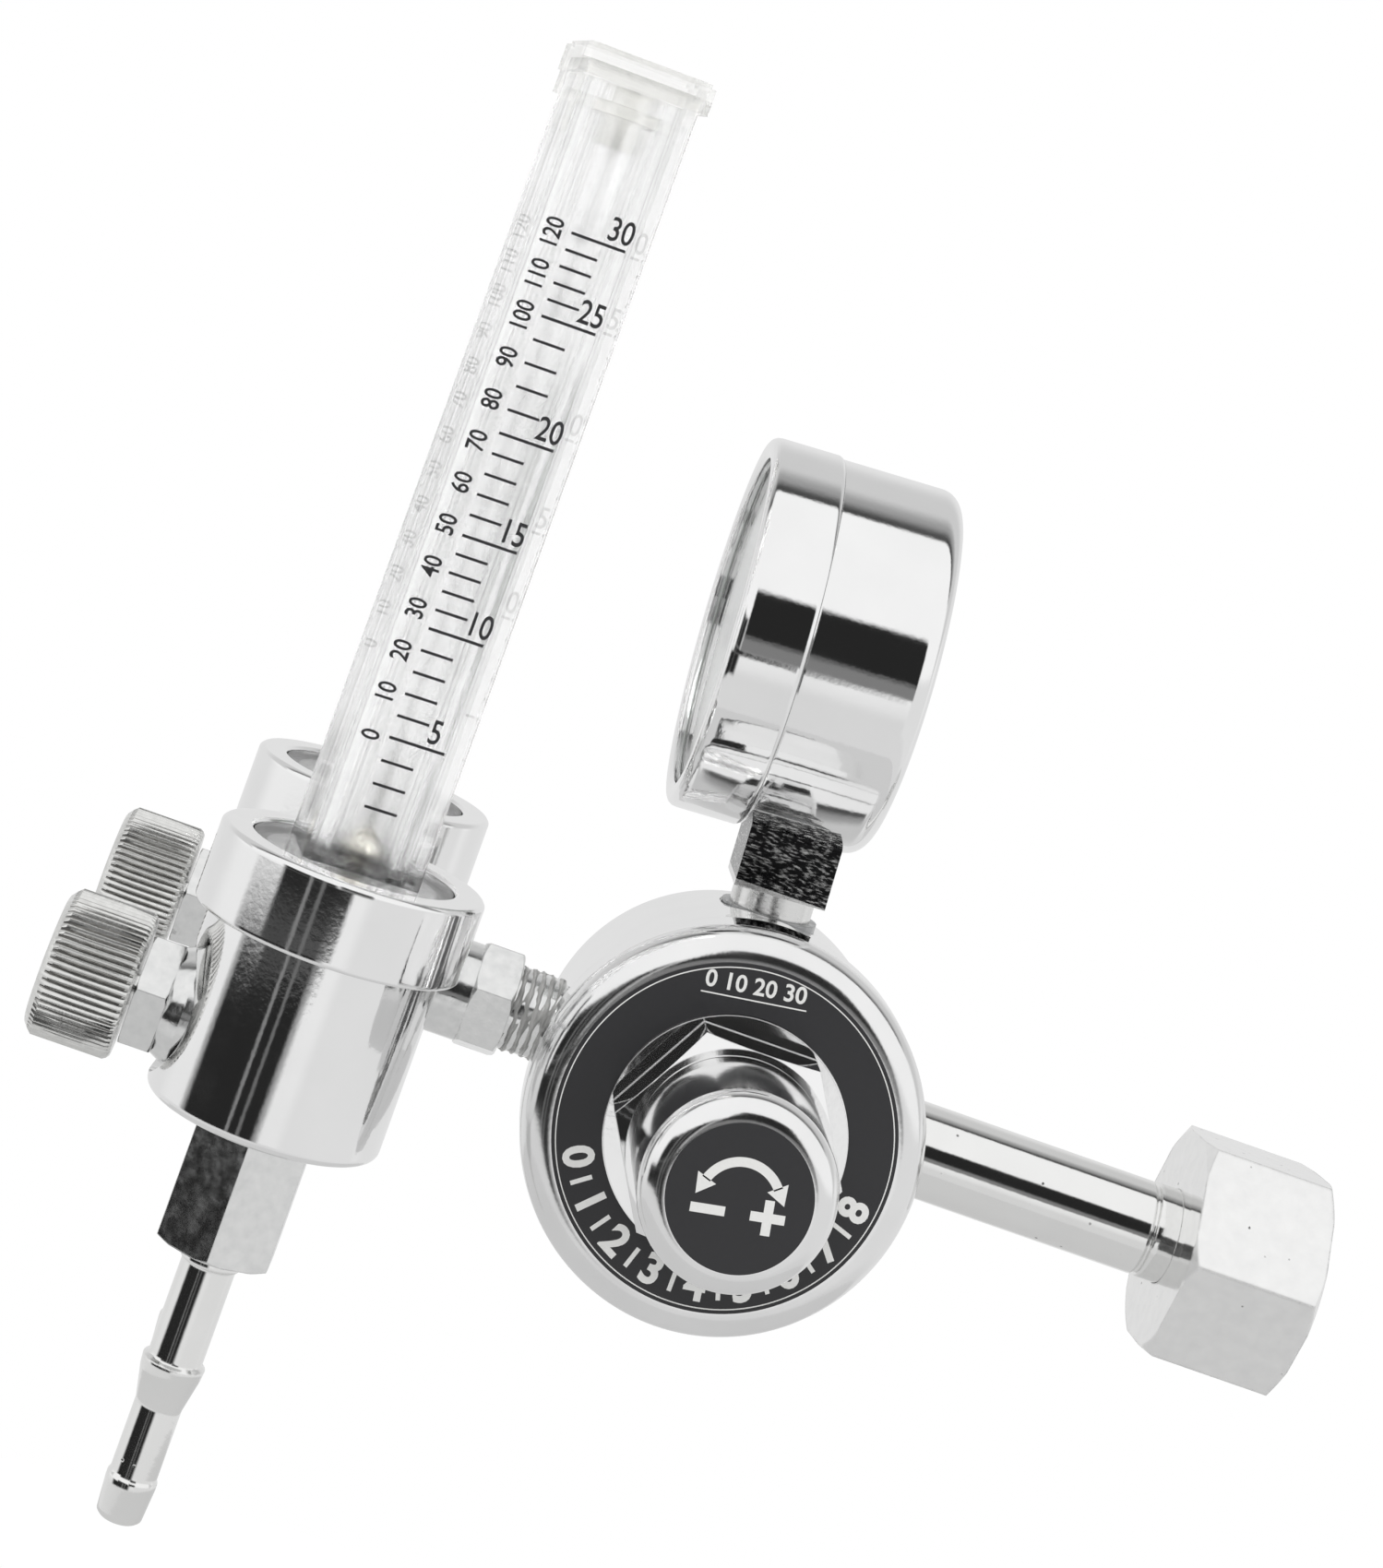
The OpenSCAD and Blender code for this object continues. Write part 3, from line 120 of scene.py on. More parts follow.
@dataclass(frozen=True)
class PlatedMetal:
    """Plating over turned brass: mirror chrome where it was buffed, satin nickel where it was not."""

    name: str
    colour: str
    shade: str
    smooth: float
    rough: float
    patch_mm: float = 9.0
    ripple_mm: float = 4.0
    ripple_um: float = 2.0
    pit_mm: float = 0.0
    pit_um: float = 0.0
    pit_tone: str = "#7A7A79"
    edge_mm: float = 0.25
    stretch: tuple[float, float, float] = (1.0, 1.0, 1.0)
    thread_mm: float = 0.0
    split: Point = (0.0, 1.0)
    above_mm: float = 0.0

    def build(self) -> bpy.types.Material:
        """Builds the material: patchy gloss, a faint ripple left by buffing, pits, and softened edges."""
        material, tree, shader = new_material(self.name)
        place = add(tree, "ShaderNodeTexCoord").outputs["Object"]
        along = add(tree, "ShaderNodeMapping", {"Scale": self.stretch}, {"Vector": place}).outputs["Vector"]
        patches = add(tree, "ShaderNodeTexNoise", {"Scale": per_mm(self.patch_mm), "Detail": 5.0},
                      {"Vector": along})
        share = add(tree, "ShaderNodeMapRange", {1: self.split[0], 2: self.split[1]}, {0: patches.outputs["Fac"]})
        # Below above_mm only the second tone is used; on the block finish this keeps the painted dark reflection off
        # the gauge stem's neck.
        if self.above_mm:
            height = add(tree, "ShaderNodeSeparateXYZ", links={0: place})
            low = add(tree, "ShaderNodeMath", {"operation": "LESS_THAN", 1: self.above_mm * MM},
                      {0: height.outputs["Z"]})
            share = add(tree, "ShaderNodeMath", {"operation": "MAXIMUM"}, {0: share.outputs[0], 1: low.outputs[0]})
        tone = add(tree, "ShaderNodeMix", {"data_type": "RGBA", 6: linear(self.colour), 7: linear(self.shade)},
                   {0: share.outputs[0]})
        gloss = add(tree, "ShaderNodeMapRange", {1: 0.3, 2: 0.7, 3: self.smooth, 4: self.rough},
                    {0: patches.outputs["Fac"]})
        soft = add(tree, "ShaderNodeBevel", {"samples": 4, "Radius": self.edge_mm * MM})
        ripple = add(tree, "ShaderNodeTexNoise", {"Scale": per_mm(self.ripple_mm), "Detail": 2.0},
                     {"Vector": along})
        bump = add(tree, "ShaderNodeBump", {"Distance": self.ripple_um * 1e-6, "Strength": 1.0},
                   {"Height": ripple.outputs["Fac"], "Normal": soft.outputs["Normal"]})
        if self.pit_mm:
            cells = add(tree, "ShaderNodeTexVoronoi", {"Scale": per_mm(self.pit_mm)}, {"Vector": place})
            pits = add(tree, "ShaderNodeMapRange", {1: 0.03, 2: 0.08, 3: 0.0, 4: 1.0},
                       {0: cells.outputs["Distance"]})
            bump = add(tree, "ShaderNodeBump", {"Distance": self.pit_um * 1e-6, "Strength": 1.0},
                       {"Height": pits.outputs[0], "Normal": bump.outputs["Normal"]})
            tone = add(tree, "ShaderNodeMix", {"data_type": "RGBA", 6: linear(self.pit_tone)},
                       {0: pits.outputs[0], 7: tone.outputs[2]})
        if self.thread_mm:
            bump = self._thread(tree, place, bump)
        tree.links.new(tone.outputs[2], shader.inputs["Base Color"])
        tree.links.new(gloss.outputs[0], shader.inputs["Roughness"])
        tree.links.new(bump.outputs["Normal"], shader.inputs["Normal"])
        shader.inputs["Metallic"].default_value = 1.0
        return material

    def _thread(self, tree: bpy.types.NodeTree, place: bpy.types.NodeSocket,
                bump: bpy.types.Node) -> bpy.types.Node:
        """Adds the turns of a screw thread inside the inlet nut's bore, where the radius is under 10.5 mm."""
        parts = add(tree, "ShaderNodeSeparateXYZ", links={0: place})
        angle = add(tree, "ShaderNodeMath", {"operation": "ARCTAN2"},
                    {0: parts.outputs["Z"], 1: parts.outputs["Y"]})
        turns = add(tree, "ShaderNodeMath", {"operation": "DIVIDE", 1: self.thread_mm * MM / (2 * math.pi)},
                    {0: parts.outputs["X"]})
        phase = add(tree, "ShaderNodeMath", {"operation": "ADD"}, {0: turns.outputs[0], 1: angle.outputs[0]})
        wave = add(tree, "ShaderNodeMath", {"operation": "SINE"}, {0: phase.outputs[0]})
        flat = add(tree, "ShaderNodeCombineXYZ", links={"Y": parts.outputs["Y"], "Z": parts.outputs["Z"]})
        reach = add(tree, "ShaderNodeVectorMath", {"operation": "LENGTH"}, {0: flat.outputs[0]})
        inside = add(tree, "ShaderNodeMath", {"operation": "LESS_THAN", 1: 10.0 * MM},
                     {0: reach.outputs["Value"]})
        height = add(tree, "ShaderNodeMath", {"operation": "MULTIPLY"},
                     {0: wave.outputs[0], 1: inside.outputs[0]})
        return add(tree, "ShaderNodeBump", {"Distance": 0.3 * MM, "Strength": 1.0},
                   {"Height": height.outputs[0], "Normal": bump.outputs["Normal"]})


@dataclass(frozen=True)
class ClearPlastic:
    """Moulded and polished clear acrylic, with the faint flow lines of the mould."""

    name: str
    colour: str = "#FFFFFF"
    rough: float = 0.008
    ior: float = 1.49
    flow_um: float = 1.2
    straight: float = 0.0

    def build(self) -> bpy.types.Material:
        """Builds the material: clear, slightly uneven, with a little more haze in patches."""
        material, tree, shader = new_material(self.name)
        place = add(tree, "ShaderNodeTexCoord").outputs["Object"]
        along = add(tree, "ShaderNodeMapping", {"Scale": (1.0, 1.0, 0.12)}, {"Vector": place}).outputs["Vector"]
        flow = add(tree, "ShaderNodeTexNoise", {"Scale": per_mm(2.5), "Detail": 2.0}, {"Vector": along})
        haze = add(tree, "ShaderNodeMapRange", {1: 0.35, 2: 0.75, 3: self.rough * 0.3, 4: self.rough},
                   {0: flow.outputs["Fac"]})
        bump = add(tree, "ShaderNodeBump", {"Distance": self.flow_um * 1e-6, "Strength": 1.0},
                   {"Height": flow.outputs["Fac"]})
        shader.inputs["Base Color"].default_value = linear(self.colour)
        shader.inputs["Transmission Weight"].default_value = 1.0
        shader.inputs["IOR"].default_value = self.ior
        tree.links.new(haze.outputs[0], shader.inputs["Roughness"])
        tree.links.new(bump.outputs["Normal"], shader.inputs["Normal"])
        if self.straight:
            self._let_through(tree, shader)
        return material

    def _let_through(self, tree: bpy.types.NodeTree, shader: bpy.types.Node) -> None:
        """Lets a share of the light pass unbent, as through a wall whose two faces are parallel."""
        clear = add(tree, "ShaderNodeBsdfTransparent", {"Color": linear(self.colour)})
        both = add(tree, "ShaderNodeMixShader", {0: self.straight},
                   {1: shader.outputs[0], 2: clear.outputs[0]})
        out = next(n for n in tree.nodes if n.type == "OUTPUT_MATERIAL")
        tree.links.new(both.outputs[0], out.inputs["Surface"])


@dataclass(frozen=True)
class DullSurface:
    """A surface that is no bare metal and not clear: printed film, ink, rubber, plastic, enamel or tape."""

    name: str
    colour: str
    shade: str
    rough: float
    grain_mm: float
    grain_um: float
    stretch: tuple[float, float, float] = (1.0, 1.0, 1.0)
    metallic: float = 0.0

    def build(self) -> bpy.types.Material:
        """Builds the material: two close tones in a fine grain, and the same grain as relief."""
        material, tree, shader = new_material(self.name)
        place = add(tree, "ShaderNodeTexCoord").outputs["Object"]
        along = add(tree, "ShaderNodeMapping", {"Scale": self.stretch}, {"Vector": place}).outputs["Vector"]
        grain = add(tree, "ShaderNodeTexNoise", {"Scale": per_mm(self.grain_mm), "Detail": 4.0},
                    {"Vector": along})
        tone = add(tree, "ShaderNodeMix", {"data_type": "RGBA", 6: linear(self.colour), 7: linear(self.shade)},
                   {0: grain.outputs["Fac"]})
        gloss = add(tree, "ShaderNodeMapRange", {1: 0.3, 2: 0.7, 3: self.rough * 0.85, 4: self.rough * 1.15},
                    {0: grain.outputs["Fac"]})
        bump = add(tree, "ShaderNodeBump", {"Distance": self.grain_um * 1e-6, "Strength": 1.0},
                   {"Height": grain.outputs["Fac"]})
        tree.links.new(tone.outputs[2], shader.inputs["Base Color"])
        tree.links.new(gloss.outputs[0], shader.inputs["Roughness"])
        tree.links.new(bump.outputs["Normal"], shader.inputs["Normal"])
        shader.inputs["Metallic"].default_value = self.metallic
        return material


@dataclass
class Finishes:
    """Every finish on the regulator, built once."""

    mirror: PlatedMetal = PlatedMetal("buffed_chrome_plating", "#F5F5F5", "#EDEDED", 0.035, 0.08,
                                      ripple_mm=0.9, ripple_um=5.0)
    spun: PlatedMetal = PlatedMetal("spun_chrome_plating", "#F3F3F3", "#E7E7E7", 0.08, 0.15, ripple_mm=1.0,
                                    ripple_um=7.0)
    pipe: PlatedMetal = PlatedMetal("buffed_nickel_plating", "#F3F3F2", "#E8E8E7", 0.05, 0.1, ripple_mm=1.1,
                                    ripple_um=7.0, pit_mm=3.4, pit_um=30.0)
    tin: PlatedMetal = PlatedMetal("tinned_copper", "#B4B5B5", "#97989A", 0.22, 0.4, patch_mm=1.5)
    satin: PlatedMetal = PlatedMetal("satin_nickel_plating", "#E2E2E1", "#D2D3D3", 0.17, 0.27, patch_mm=5.0,
                                     ripple_mm=1.6, ripple_um=6.0, pit_mm=1.9, pit_um=25.0)
    nut: PlatedMetal = PlatedMetal("tumbled_nickel_plating", "#F7F7F6", "#E8E8E8", 0.06, 0.13, patch_mm=2.2,
                                   ripple_mm=1.3, ripple_um=4.0, pit_mm=3.1, pit_um=45.0, edge_mm=0.7,
                                   thread_mm=1.814)
    # The block's dark tone with bright speckles is painted reflection of the dark side of the room; below above_mm the
    # neck keeps the bright tone.
    block: PlatedMetal = PlatedMetal("forged_nickel_painted_reflection", "#2A2A2B", "#E6E6E5", 0.14, 0.3, patch_mm=0.32,
                                     ripple_mm=0.5, ripple_um=16.0, stretch=(0.3, 0.3, 1.0),
                                     split=(0.5, 0.72), above_mm=28.8)
    facet: PlatedMetal = PlatedMetal("milled_nickel_plating", "#EFEFEE", "#D6D7D7", 0.08, 0.18, patch_mm=1.6,
                                     ripple_mm=0.9, ripple_um=14.0)
    knurl: PlatedMetal = PlatedMetal("knurled_nickel_plating", "#EDEDEB", "#CFCFCD", 0.12, 0.24, patch_mm=1.2,
                                     ripple_mm=0.5, ripple_um=9.0, edge_mm=0.06)
    # Darker tone for the troughs between the knob's ridges: painted shade in the recesses.
    groove: PlatedMetal = PlatedMetal("knurl_grooves_painted_shade", "#C2C1BF", "#8A8986", 0.25, 0.4, patch_mm=0.8,
                                      ripple_mm=0.5, ripple_um=9.0, edge_mm=0.03)
    ball: PlatedMetal = PlatedMetal("ground_steel_ball", "#D6D4CC", "#C6C3BA", 0.08, 0.14, edge_mm=0.05)
    brass: PlatedMetal = PlatedMetal("turned_brass", "#C8A65C", "#B08E48", 0.2, 0.35, patch_mm=2.0)
    bronze: PlatedMetal = PlatedMetal("sintered_bronze", "#9C7A4C", "#7A5C36", 0.5, 0.7, patch_mm=0.5,
                                      pit_mm=0.35, pit_um=80.0)
    steel: PlatedMetal = PlatedMetal("oiled_spring_steel", "#7C7D80", "#606165", 0.25, 0.4, patch_mm=1.5)
    acrylic: ClearPlastic = ClearPlastic("moulded_clear_acrylic", straight=0.38)
    bore: ClearPlastic = ClearPlastic("drawn_clear_acrylic", flow_um=0.6, straight=0.42)
    lid: ClearPlastic = ClearPlastic("hazy_moulded_acrylic", "#FDFDFC", 0.22, straight=0.35)
    glass: ClearPlastic = ClearPlastic("flat_gauge_glass", "#F8FBFA", 0.02, 1.52, 0.0)
    frosted: ClearPlastic = ClearPlastic("moulded_clear_stop", "#F8F8F6", 0.2, straight=0.4)
    film: DullSurface = DullSurface("black_printed_film", "#29292B", "#2E2E30", 0.4, 0.6, 1.0)
    white_ink: DullSurface = DullSurface("white_screen_ink", "#E6E6E4", "#DCDCDA", 0.5, 0.4, 2.0)
    black_ink: DullSurface = DullSurface("black_screen_ink", "#1D1D1F", "#2A2A2C", 0.5, 0.3, 2.0)
    enamel: DullSurface = DullSurface("white_dial_enamel", "#F0F0ED", "#E7E7E4", 0.35, 1.5, 1.0)
    rubber: DullSurface = DullSurface("nitrile_rubber", "#1A1A1A", "#232323", 0.6, 0.3, 8.0)
    fibre: DullSurface = DullSurface("white_fibre_washer", "#E4E2DA", "#D6D3C8", 0.6, 0.4, 15.0)
    tape: DullSurface = DullSurface("wrapped_thread_tape", "#E2E2E0", "#5C5C5A", 0.4, 0.6, 90.0,
                                    (1.0, 0.25, 0.25))
    made: dict[str, bpy.types.Material] = field(default_factory=dict)

    def get(self, name: str) -> bpy.types.Material:
        """Returns the material of a finish, and builds it the first time."""
        if name not in self.made:
            self.made[name] = getattr(self, name).build()
        return self.made[name]


def turn_to(axis: Axis) -> Matrix:
    """Matrix that turns a piece drawn along +Z so that it points along the given axis."""
    return {
        Axis.UP: Matrix.Identity(4),
        Axis.FRONT: Matrix.Rotation(math.radians(90), 4, "X"),
        Axis.INLET: Matrix.Rotation(math.radians(90), 4, "Y"),
        Axis.KNOB: Matrix.Rotation(math.radians(-90), 4, "Y"),
    }[axis]


def arc(r: float, h: float, edge: float, steps: int = 8) -> list[Point]:
    """Quarter round from the side, at radius r, up to the top, at height h.

    Args:
        r: Outer radius in millimetres.
        h: Height of the top in millimetres.
        edge: Radius of the rounding.
        steps: Number of chords.

    Returns:
        Points of the outline.
    """
    angles = [math.pi / 2 * i / steps for i in range(steps + 1)]
    return [(r - edge + edge * math.cos(a), h - edge + edge * math.sin(a)) for a in angles]


def soften(points: list[Point], radius: float, closed: bool) -> list[Point]:
    """Rounds every sharp corner of an outline.

    Args:
        points: The outline in millimetres.
        radius: Radius of the rounding, cut down on short edges.
        closed: Whether the last point joins the first.

    Returns:
        The outline with three points in place of each sharp corner.
    """
    out: list[Point] = []
    count = len(points)
    for i, p in enumerate(points):
        if not closed and i in (0, count - 1):
            out.append(p)
            continue
        before, here, after = Vector(points[i - 1]), Vector(p), Vector(points[(i + 1) % count])
        a, b = before - here, after - here
        if a.length < 1e-6 or b.length < 1e-6 or math.pi - a.angle(b) < 0.35:
            out.append(p)
            continue
        cut = min(radius, 0.35 * a.length, 0.35 * b.length)
        first, last = here + a.normalized() * cut, here + b.normalized() * cut
        middle = (first + last) / 4 + here / 2
        out += [tuple(first), tuple(middle), tuple(last)]
    return out


def support(points: list[Point], closed: bool, gap: float = 0.3) -> list[Point]:
    """Adds a point near both ends of each long straight stretch, so that smooth shading stays true on it.

    Args:
        points: The outline in millimetres.
        closed: Whether the last point joins the first.
        gap: Distance of the added points from the ends.

    Returns:
        The outline with the added points.
    """
    out: list[Point] = []
    for i, point in enumerate(points):
        out.append(point)
        if not closed and i == len(points) - 1:
            break
        a, b = Vector(point), Vector(points[(i + 1) % len(points)])
        if (b - a).length > 4 * gap:
            step = (b - a).normalized() * gap
            out += [tuple(a + step), tuple(b - step)]
    return out


def mesh_object(name: str, verts: list, faces: list, material: bpy.types.Material,
                sharp: float = 32.0) -> bpy.types.Object:
    """Makes an object from vertices in millimetres.

    Args:
        name: The piece's name.
        verts: Points in millimetres.
        faces: Vertex numbers of each face.
        material: Its finish.
        sharp: Edges that turn by more than this many degrees stay sharp.

    Returns:
        The object, in the scene.
    """
    mesh = bpy.data.meshes.new(name)
    mesh.from_pydata([tuple(c * MM for c in v) for v in verts], [], faces)
    mesh.validate()
    work = bmesh.new()
    work.from_mesh(mesh)
    bmesh.ops.recalc_face_normals(work, faces=work.faces)
    work.to_mesh(mesh)
    work.free()
    mesh.shade_smooth()
    mesh.set_sharp_from_angle(angle=math.radians(sharp))
    mesh.materials.append(material)
    piece = bpy.data.objects.new(name, mesh)
    bpy.context.scene.collection.objects.link(piece)
    return piece


def turned(name: str, outline: list[Point], place: Matrix, material: bpy.types.Material,
           closed: bool = True, segments: int = 160, edge: float = 0.25) -> bpy.types.Object:
    """Turns an outline about its own Z axis.

    Args:
        name: The piece's name.
        outline: Radius and height pairs in millimetres. Points of radius 0 become poles.
        place: Matrix in millimetres from the turned piece to the row frame.
        material: Its finish.
        closed: Whether the outline is a loop, as for a ring.
        segments: Number of steps round the axis.
        edge: Rounding of the sharp corners in millimetres.

    Returns:
        The turned object.
    """
    points = support(soften(outline, edge, closed), closed)
    verts: list[Vector] = []
    rings: list[list[int]] = []
    for r, h in points:
        if r < 1e-6:
            rings.append([len(verts)] * segments)
            verts.append(place @ Vector((0, 0, h)))
            continue
        rings.append(list(range(len(verts), len(verts) + segments)))
        for s in range(segments):
            a = 2 * math.pi * s / segments
            verts.append(place @ Vector((r * math.cos(a), r * math.sin(a), h)))
    faces = []
    pairs = list(zip(rings, rings[1:])) + ([(rings[-1], rings[0])] if closed else [])
    for low, high in pairs:
        for s in range(segments):
            t = (s + 1) % segments
            face = list(dict.fromkeys([low[s], low[t], high[t], high[s]]))
            if len(face) > 2:
                faces.append(face)
    return mesh_object(name, verts, faces, material)


def shift(x: float, y: float, z: float) -> Matrix:
    """Matrix that moves a piece to a point given from the drum axis, in millimetres."""
    return Matrix.Translation((x + ORIGIN_X, y, z))


def glyphs(name: str, text: str, height: float, place: Matrix, material: bpy.types.Material,
           thick: float = 0.03, bold: float = 0.0) -> bpy.types.Object:
    """Makes thin printed figures.

    Args:
        name: The piece's name.
        text: Plain figures or signs.
        height: Height of the figures in millimetres.
        place: Matrix in millimetres; the print lies in its XY plane, centred, facing +Z.
        material: The ink.
        thick: Thickness of the ink in millimetres.
        bold: How far each stroke is widened to either side, in millimetres.

    Returns:
        The mesh of the figures.
    """
    curve = bpy.data.curves.new(name + "_line", "FONT")
    curve.body = text
    curve.align_x, curve.align_y = "CENTER", "CENTER"
    curve.size = height / 0.72
    curve.extrude = thick / 2
    curve.offset = bold
    curve.resolution_u = 4
    holder = bpy.data.objects.new(name + "_line", curve)
    bpy.context.scene.collection.objects.link(holder)
    bpy.context.view_layer.update()
    flat = bpy.data.meshes.new_from_object(holder.evaluated_get(bpy.context.evaluated_depsgraph_get()))
    verts = [place @ Vector((v.co.x, v.co.y, v.co.z + thick / 2)) for v in flat.vertices]
    faces = [list(p.vertices) for p in flat.polygons]
    bpy.data.objects.remove(holder)
    bpy.data.curves.remove(curve)
    bpy.data.meshes.remove(flat)
    return mesh_object(name, verts, faces, material)


def bars(name: str, rects: list[tuple[float, float, float, float]], place: Matrix,
         material: bpy.types.Material, thick: float = 0.03) -> bpy.types.Object:
    """Makes printed bars in one piece.

    Args:
        name: The piece's name.
        rects: Left, bottom, right and top of each bar in millimetres.
        place: Matrix in millimetres; the bars lie in its XY plane and face +Z.
        material: The ink.
        thick: Thickness of the ink in millimetres.

    Returns:
        The mesh of the bars.
    """
    verts, faces = [], []
    for x0, y0, x1, y1 in rects:
        base = len(verts)
        for z in (0.0, thick):
            verts += [place @ Vector(p) for p in ((x0, y0, z), (x1, y0, z), (x1, y1, z), (x0, y1, z))]
        faces += [[base + i for i in f] for f in
                  ((3, 2, 1, 0), (4, 5, 6, 7), (0, 1, 5, 4), (1, 2, 6, 5), (2, 3, 7, 6), (3, 0, 4, 7))]
    return mesh_object(name, verts, faces, material)


def ring_band(name: str, inner: float, outer: float, start: float, end: float, place: Matrix,
              material: bpy.types.Material, thick: float = 0.03) -> bpy.types.Object:
    """Makes a printed arc between two radii and two angles in degrees, counted from +X."""
    steps = max(6, int(abs(end - start) / 2))
    verts, faces = [], []
    for i in range(steps + 1):
        a = math.radians(start + (end - start) * i / steps)
        for r, z in ((inner, 0.0), (outer, 0.0), (outer, thick), (inner, thick)):
            verts.append(place @ Vector((r * math.cos(a), r * math.sin(a), z)))
    full = abs(end - start) >= 359.9
    for i in range(steps):
        b, n = 4 * i, 4 * ((i + 1) % steps if full and i == steps - 1 else i + 1)
        faces += [[b + k, b + (k + 1) % 4, n + (k + 1) % 4, n + k] for k in range(4)]
    if full:
        verts = verts[:-4]
    else:
        faces += [[0, 1, 2, 3], [4 * steps + k for k in (3, 2, 1, 0)]]
    return mesh_object(name, verts, faces, material)


def put(piece: bpy.types.Object, body: str, slot: str, *nodes: str) -> bpy.types.Object:
    """Rides a piece on a body, and lets it stand for CAD nodes if any are given."""
    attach(piece, body)
    if nodes:
        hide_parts(*nodes)
    return piece


@dataclass
class RegulatorHead:
    """The drum with its bonnet, hexagon, cover cap and printed labels."""

    finishes: Finishes
    drum_r: float = 27.4
    seam_y: float = 28.5
    front_y: float = 32.7
    shoulder_r: float = 4.0
    skirt_r: float = 23.9
    label_r: float = 23.2
    label_t: float = 0.25
    hex_y: float = 41.0
    cap_r: float = 12.8
    cap_len: float = 20.2
    cap_edge: float = 3.4
    print_turn: float = 8.0
    body: str = "regulator"

    def build(self) -> None:
        """Builds the turned skins and the prints."""
        f = self.finishes
        front = shift(0, 0, 0) @ turn_to(Axis.FRONT)
        bonnet = [(13.05, 29.5), (13.05, self.front_y)]
        bonnet += arc(self.drum_r, self.front_y, self.shoulder_r, 10)[::-1]
        bonnet += [(self.drum_r, self.seam_y + 0.05), (self.skirt_r, self.seam_y + 0.05), (self.skirt_r, 20.7),
                   (20.3, 20.7), (20.3, 29.5)]
        put(turned("bonnet_shell", bonnet, front, f.get("spun"), segments=192, edge=0.15), self.body,
            "chrome_plating", "bonnet")
        top = self.hex_y + self.cap_len
        cap = [(0.0, top)] + arc(self.cap_r, top, self.cap_edge, 12)[::-1]
        cap += [(self.cap_r, self.hex_y - 0.08), (10.48, self.hex_y - 0.08), (10.48, self.hex_y + 16.4),
                (0.0, self.hex_y + 16.4)]
        put(turned("cover_cap_shell", cap, front, f.get("spun"), closed=False, segments=160), "cover_cap",
            "chrome_plating", "cover_cap")
        self._prints(front, top)

    def _prints(self, front: Matrix, top: float) -> None:
        """Prints the plain scale on the ring label and the turning sign on the cap disc."""
        f = self.finishes
        face = front @ Matrix.Translation((0, 0, self.front_y + self.label_t))
        put(ring_band("ring_label_line", 22.55, 22.7, 0, 360, face, f.get("white_ink")), self.body, "black_label")
        for i in range(9):
            a = math.radians(-90 + self.print_turn - 72 + 18 * i)
            spot = Matrix.Translation((19.9 * math.cos(a), 19.9 * math.sin(a), 0))
            turn = Matrix.Rotation(a + math.pi / 2, 4, "Z")
            put(glyphs(f"ring_label_figure_{i}", str(i), 4.1, face @ spot @ turn, f.get("white_ink"), bold=0.2),
                self.body, "black_label")
            if i < 8:
                b = math.radians(-90 + self.print_turn - 63 + 18 * i)
                mark = Matrix.Translation((19.9 * math.cos(b), 19.9 * math.sin(b), 0)) @ Matrix.Rotation(
                    b + math.pi / 2, 4, "Z")
                put(bars(f"ring_label_mark_{i}", [(-0.3, -1.5, 0.3, 1.5)], face @ mark, f.get("white_ink")),
                    self.body, "black_label")
        crest = Matrix.Rotation(math.radians(self.print_turn), 4, "Z") @ Matrix.Translation((0, 20.3, 0))
        put(glyphs("ring_label_top_figures", "0 10 20 30", 2.3, face @ crest, f.get("white_ink"), bold=0.06),
            self.body, "black_label")
        put(bars("ring_label_top_rule", [(-7.2, -1.9, 7.2, -1.72)], face @ crest, f.get("white_ink")), self.body,
            "black_label")
        disc = front @ Matrix.Translation((0, 0, top + 0.25)) @ Matrix.Rotation(math.radians(10), 4, "Z")
        white = f.get("white_ink")
        put(bars("cap_sign_minus", [(-6.0, -2.4, -1.6, -1.2)], disc, white), "cap_label", "black_label")
        put(bars("cap_sign_plus", [(1.6, -2.4, 6.0, -1.2), (3.2, -4.0, 4.4, -2.4), (3.2, -1.2, 4.4, 0.4)],
                 disc, white), "cap_label", "black_label")
        put(ring_band("cap_sign_arc", 4.6, 5.8, 28, 152, disc @ Matrix.Translation((0, -0.6, 0)), white),
            "cap_label", "black_label")
        for side, a in ((-1, 152), (1, 28)):
            tip = disc @ Matrix.Translation((5.2 * math.cos(math.radians(a)), 5.2 * math.sin(math.radians(a)) - 0.6, 0))
            tip = tip @ Matrix.Rotation(math.radians(a - 90 if side > 0 else a + 90), 4, "Z")
            outline = [(-0.2, -1.4), (-0.2, 1.4), (2.2, 0.0)]
            verts = [tip @ Vector((x, y, z)) for z in (0.0, 0.03) for x, y in outline]
            faces = [[0, 1, 2], [5, 4, 3], [0, 3, 4, 1], [1, 4, 5, 2], [2, 5, 3, 0]]
            put(mesh_object(f"cap_sign_tip_{'left' if side < 0 else 'right'}", verts, faces, white),
                "cap_label", "black_label")

    def dress(self) -> None:
        """Gives the drum's CAD nodes their finishes."""
        for node, finish in {"regulator_body": "mirror", "hex_bush": "mirror", "bonnet_label": "film",
                             "cap_label": "film", "adjusting_screw": "steel", "spring_button": "brass",
                             "main_spring": "steel", "diaphragm_plate": "brass", "diaphragm": "rubber",
                             "slip_ring": "fibre", "valve_seat": "brass", "valve_poppet": "brass",
                             "poppet_spring": "steel", "rear_plug": "facet"}.items():
            dress_node(node, self.finishes.get(finish))


def dress_node(node: str, material: bpy.types.Material) -> None:
    """Gives a CAD node its material and smooth shading with sharp edges kept."""
    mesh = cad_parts[node].data
    mesh.materials.clear()
    mesh.materials.append(material)
    mesh.shade_smooth()
    mesh.set_sharp_from_angle(angle=math.radians(24))


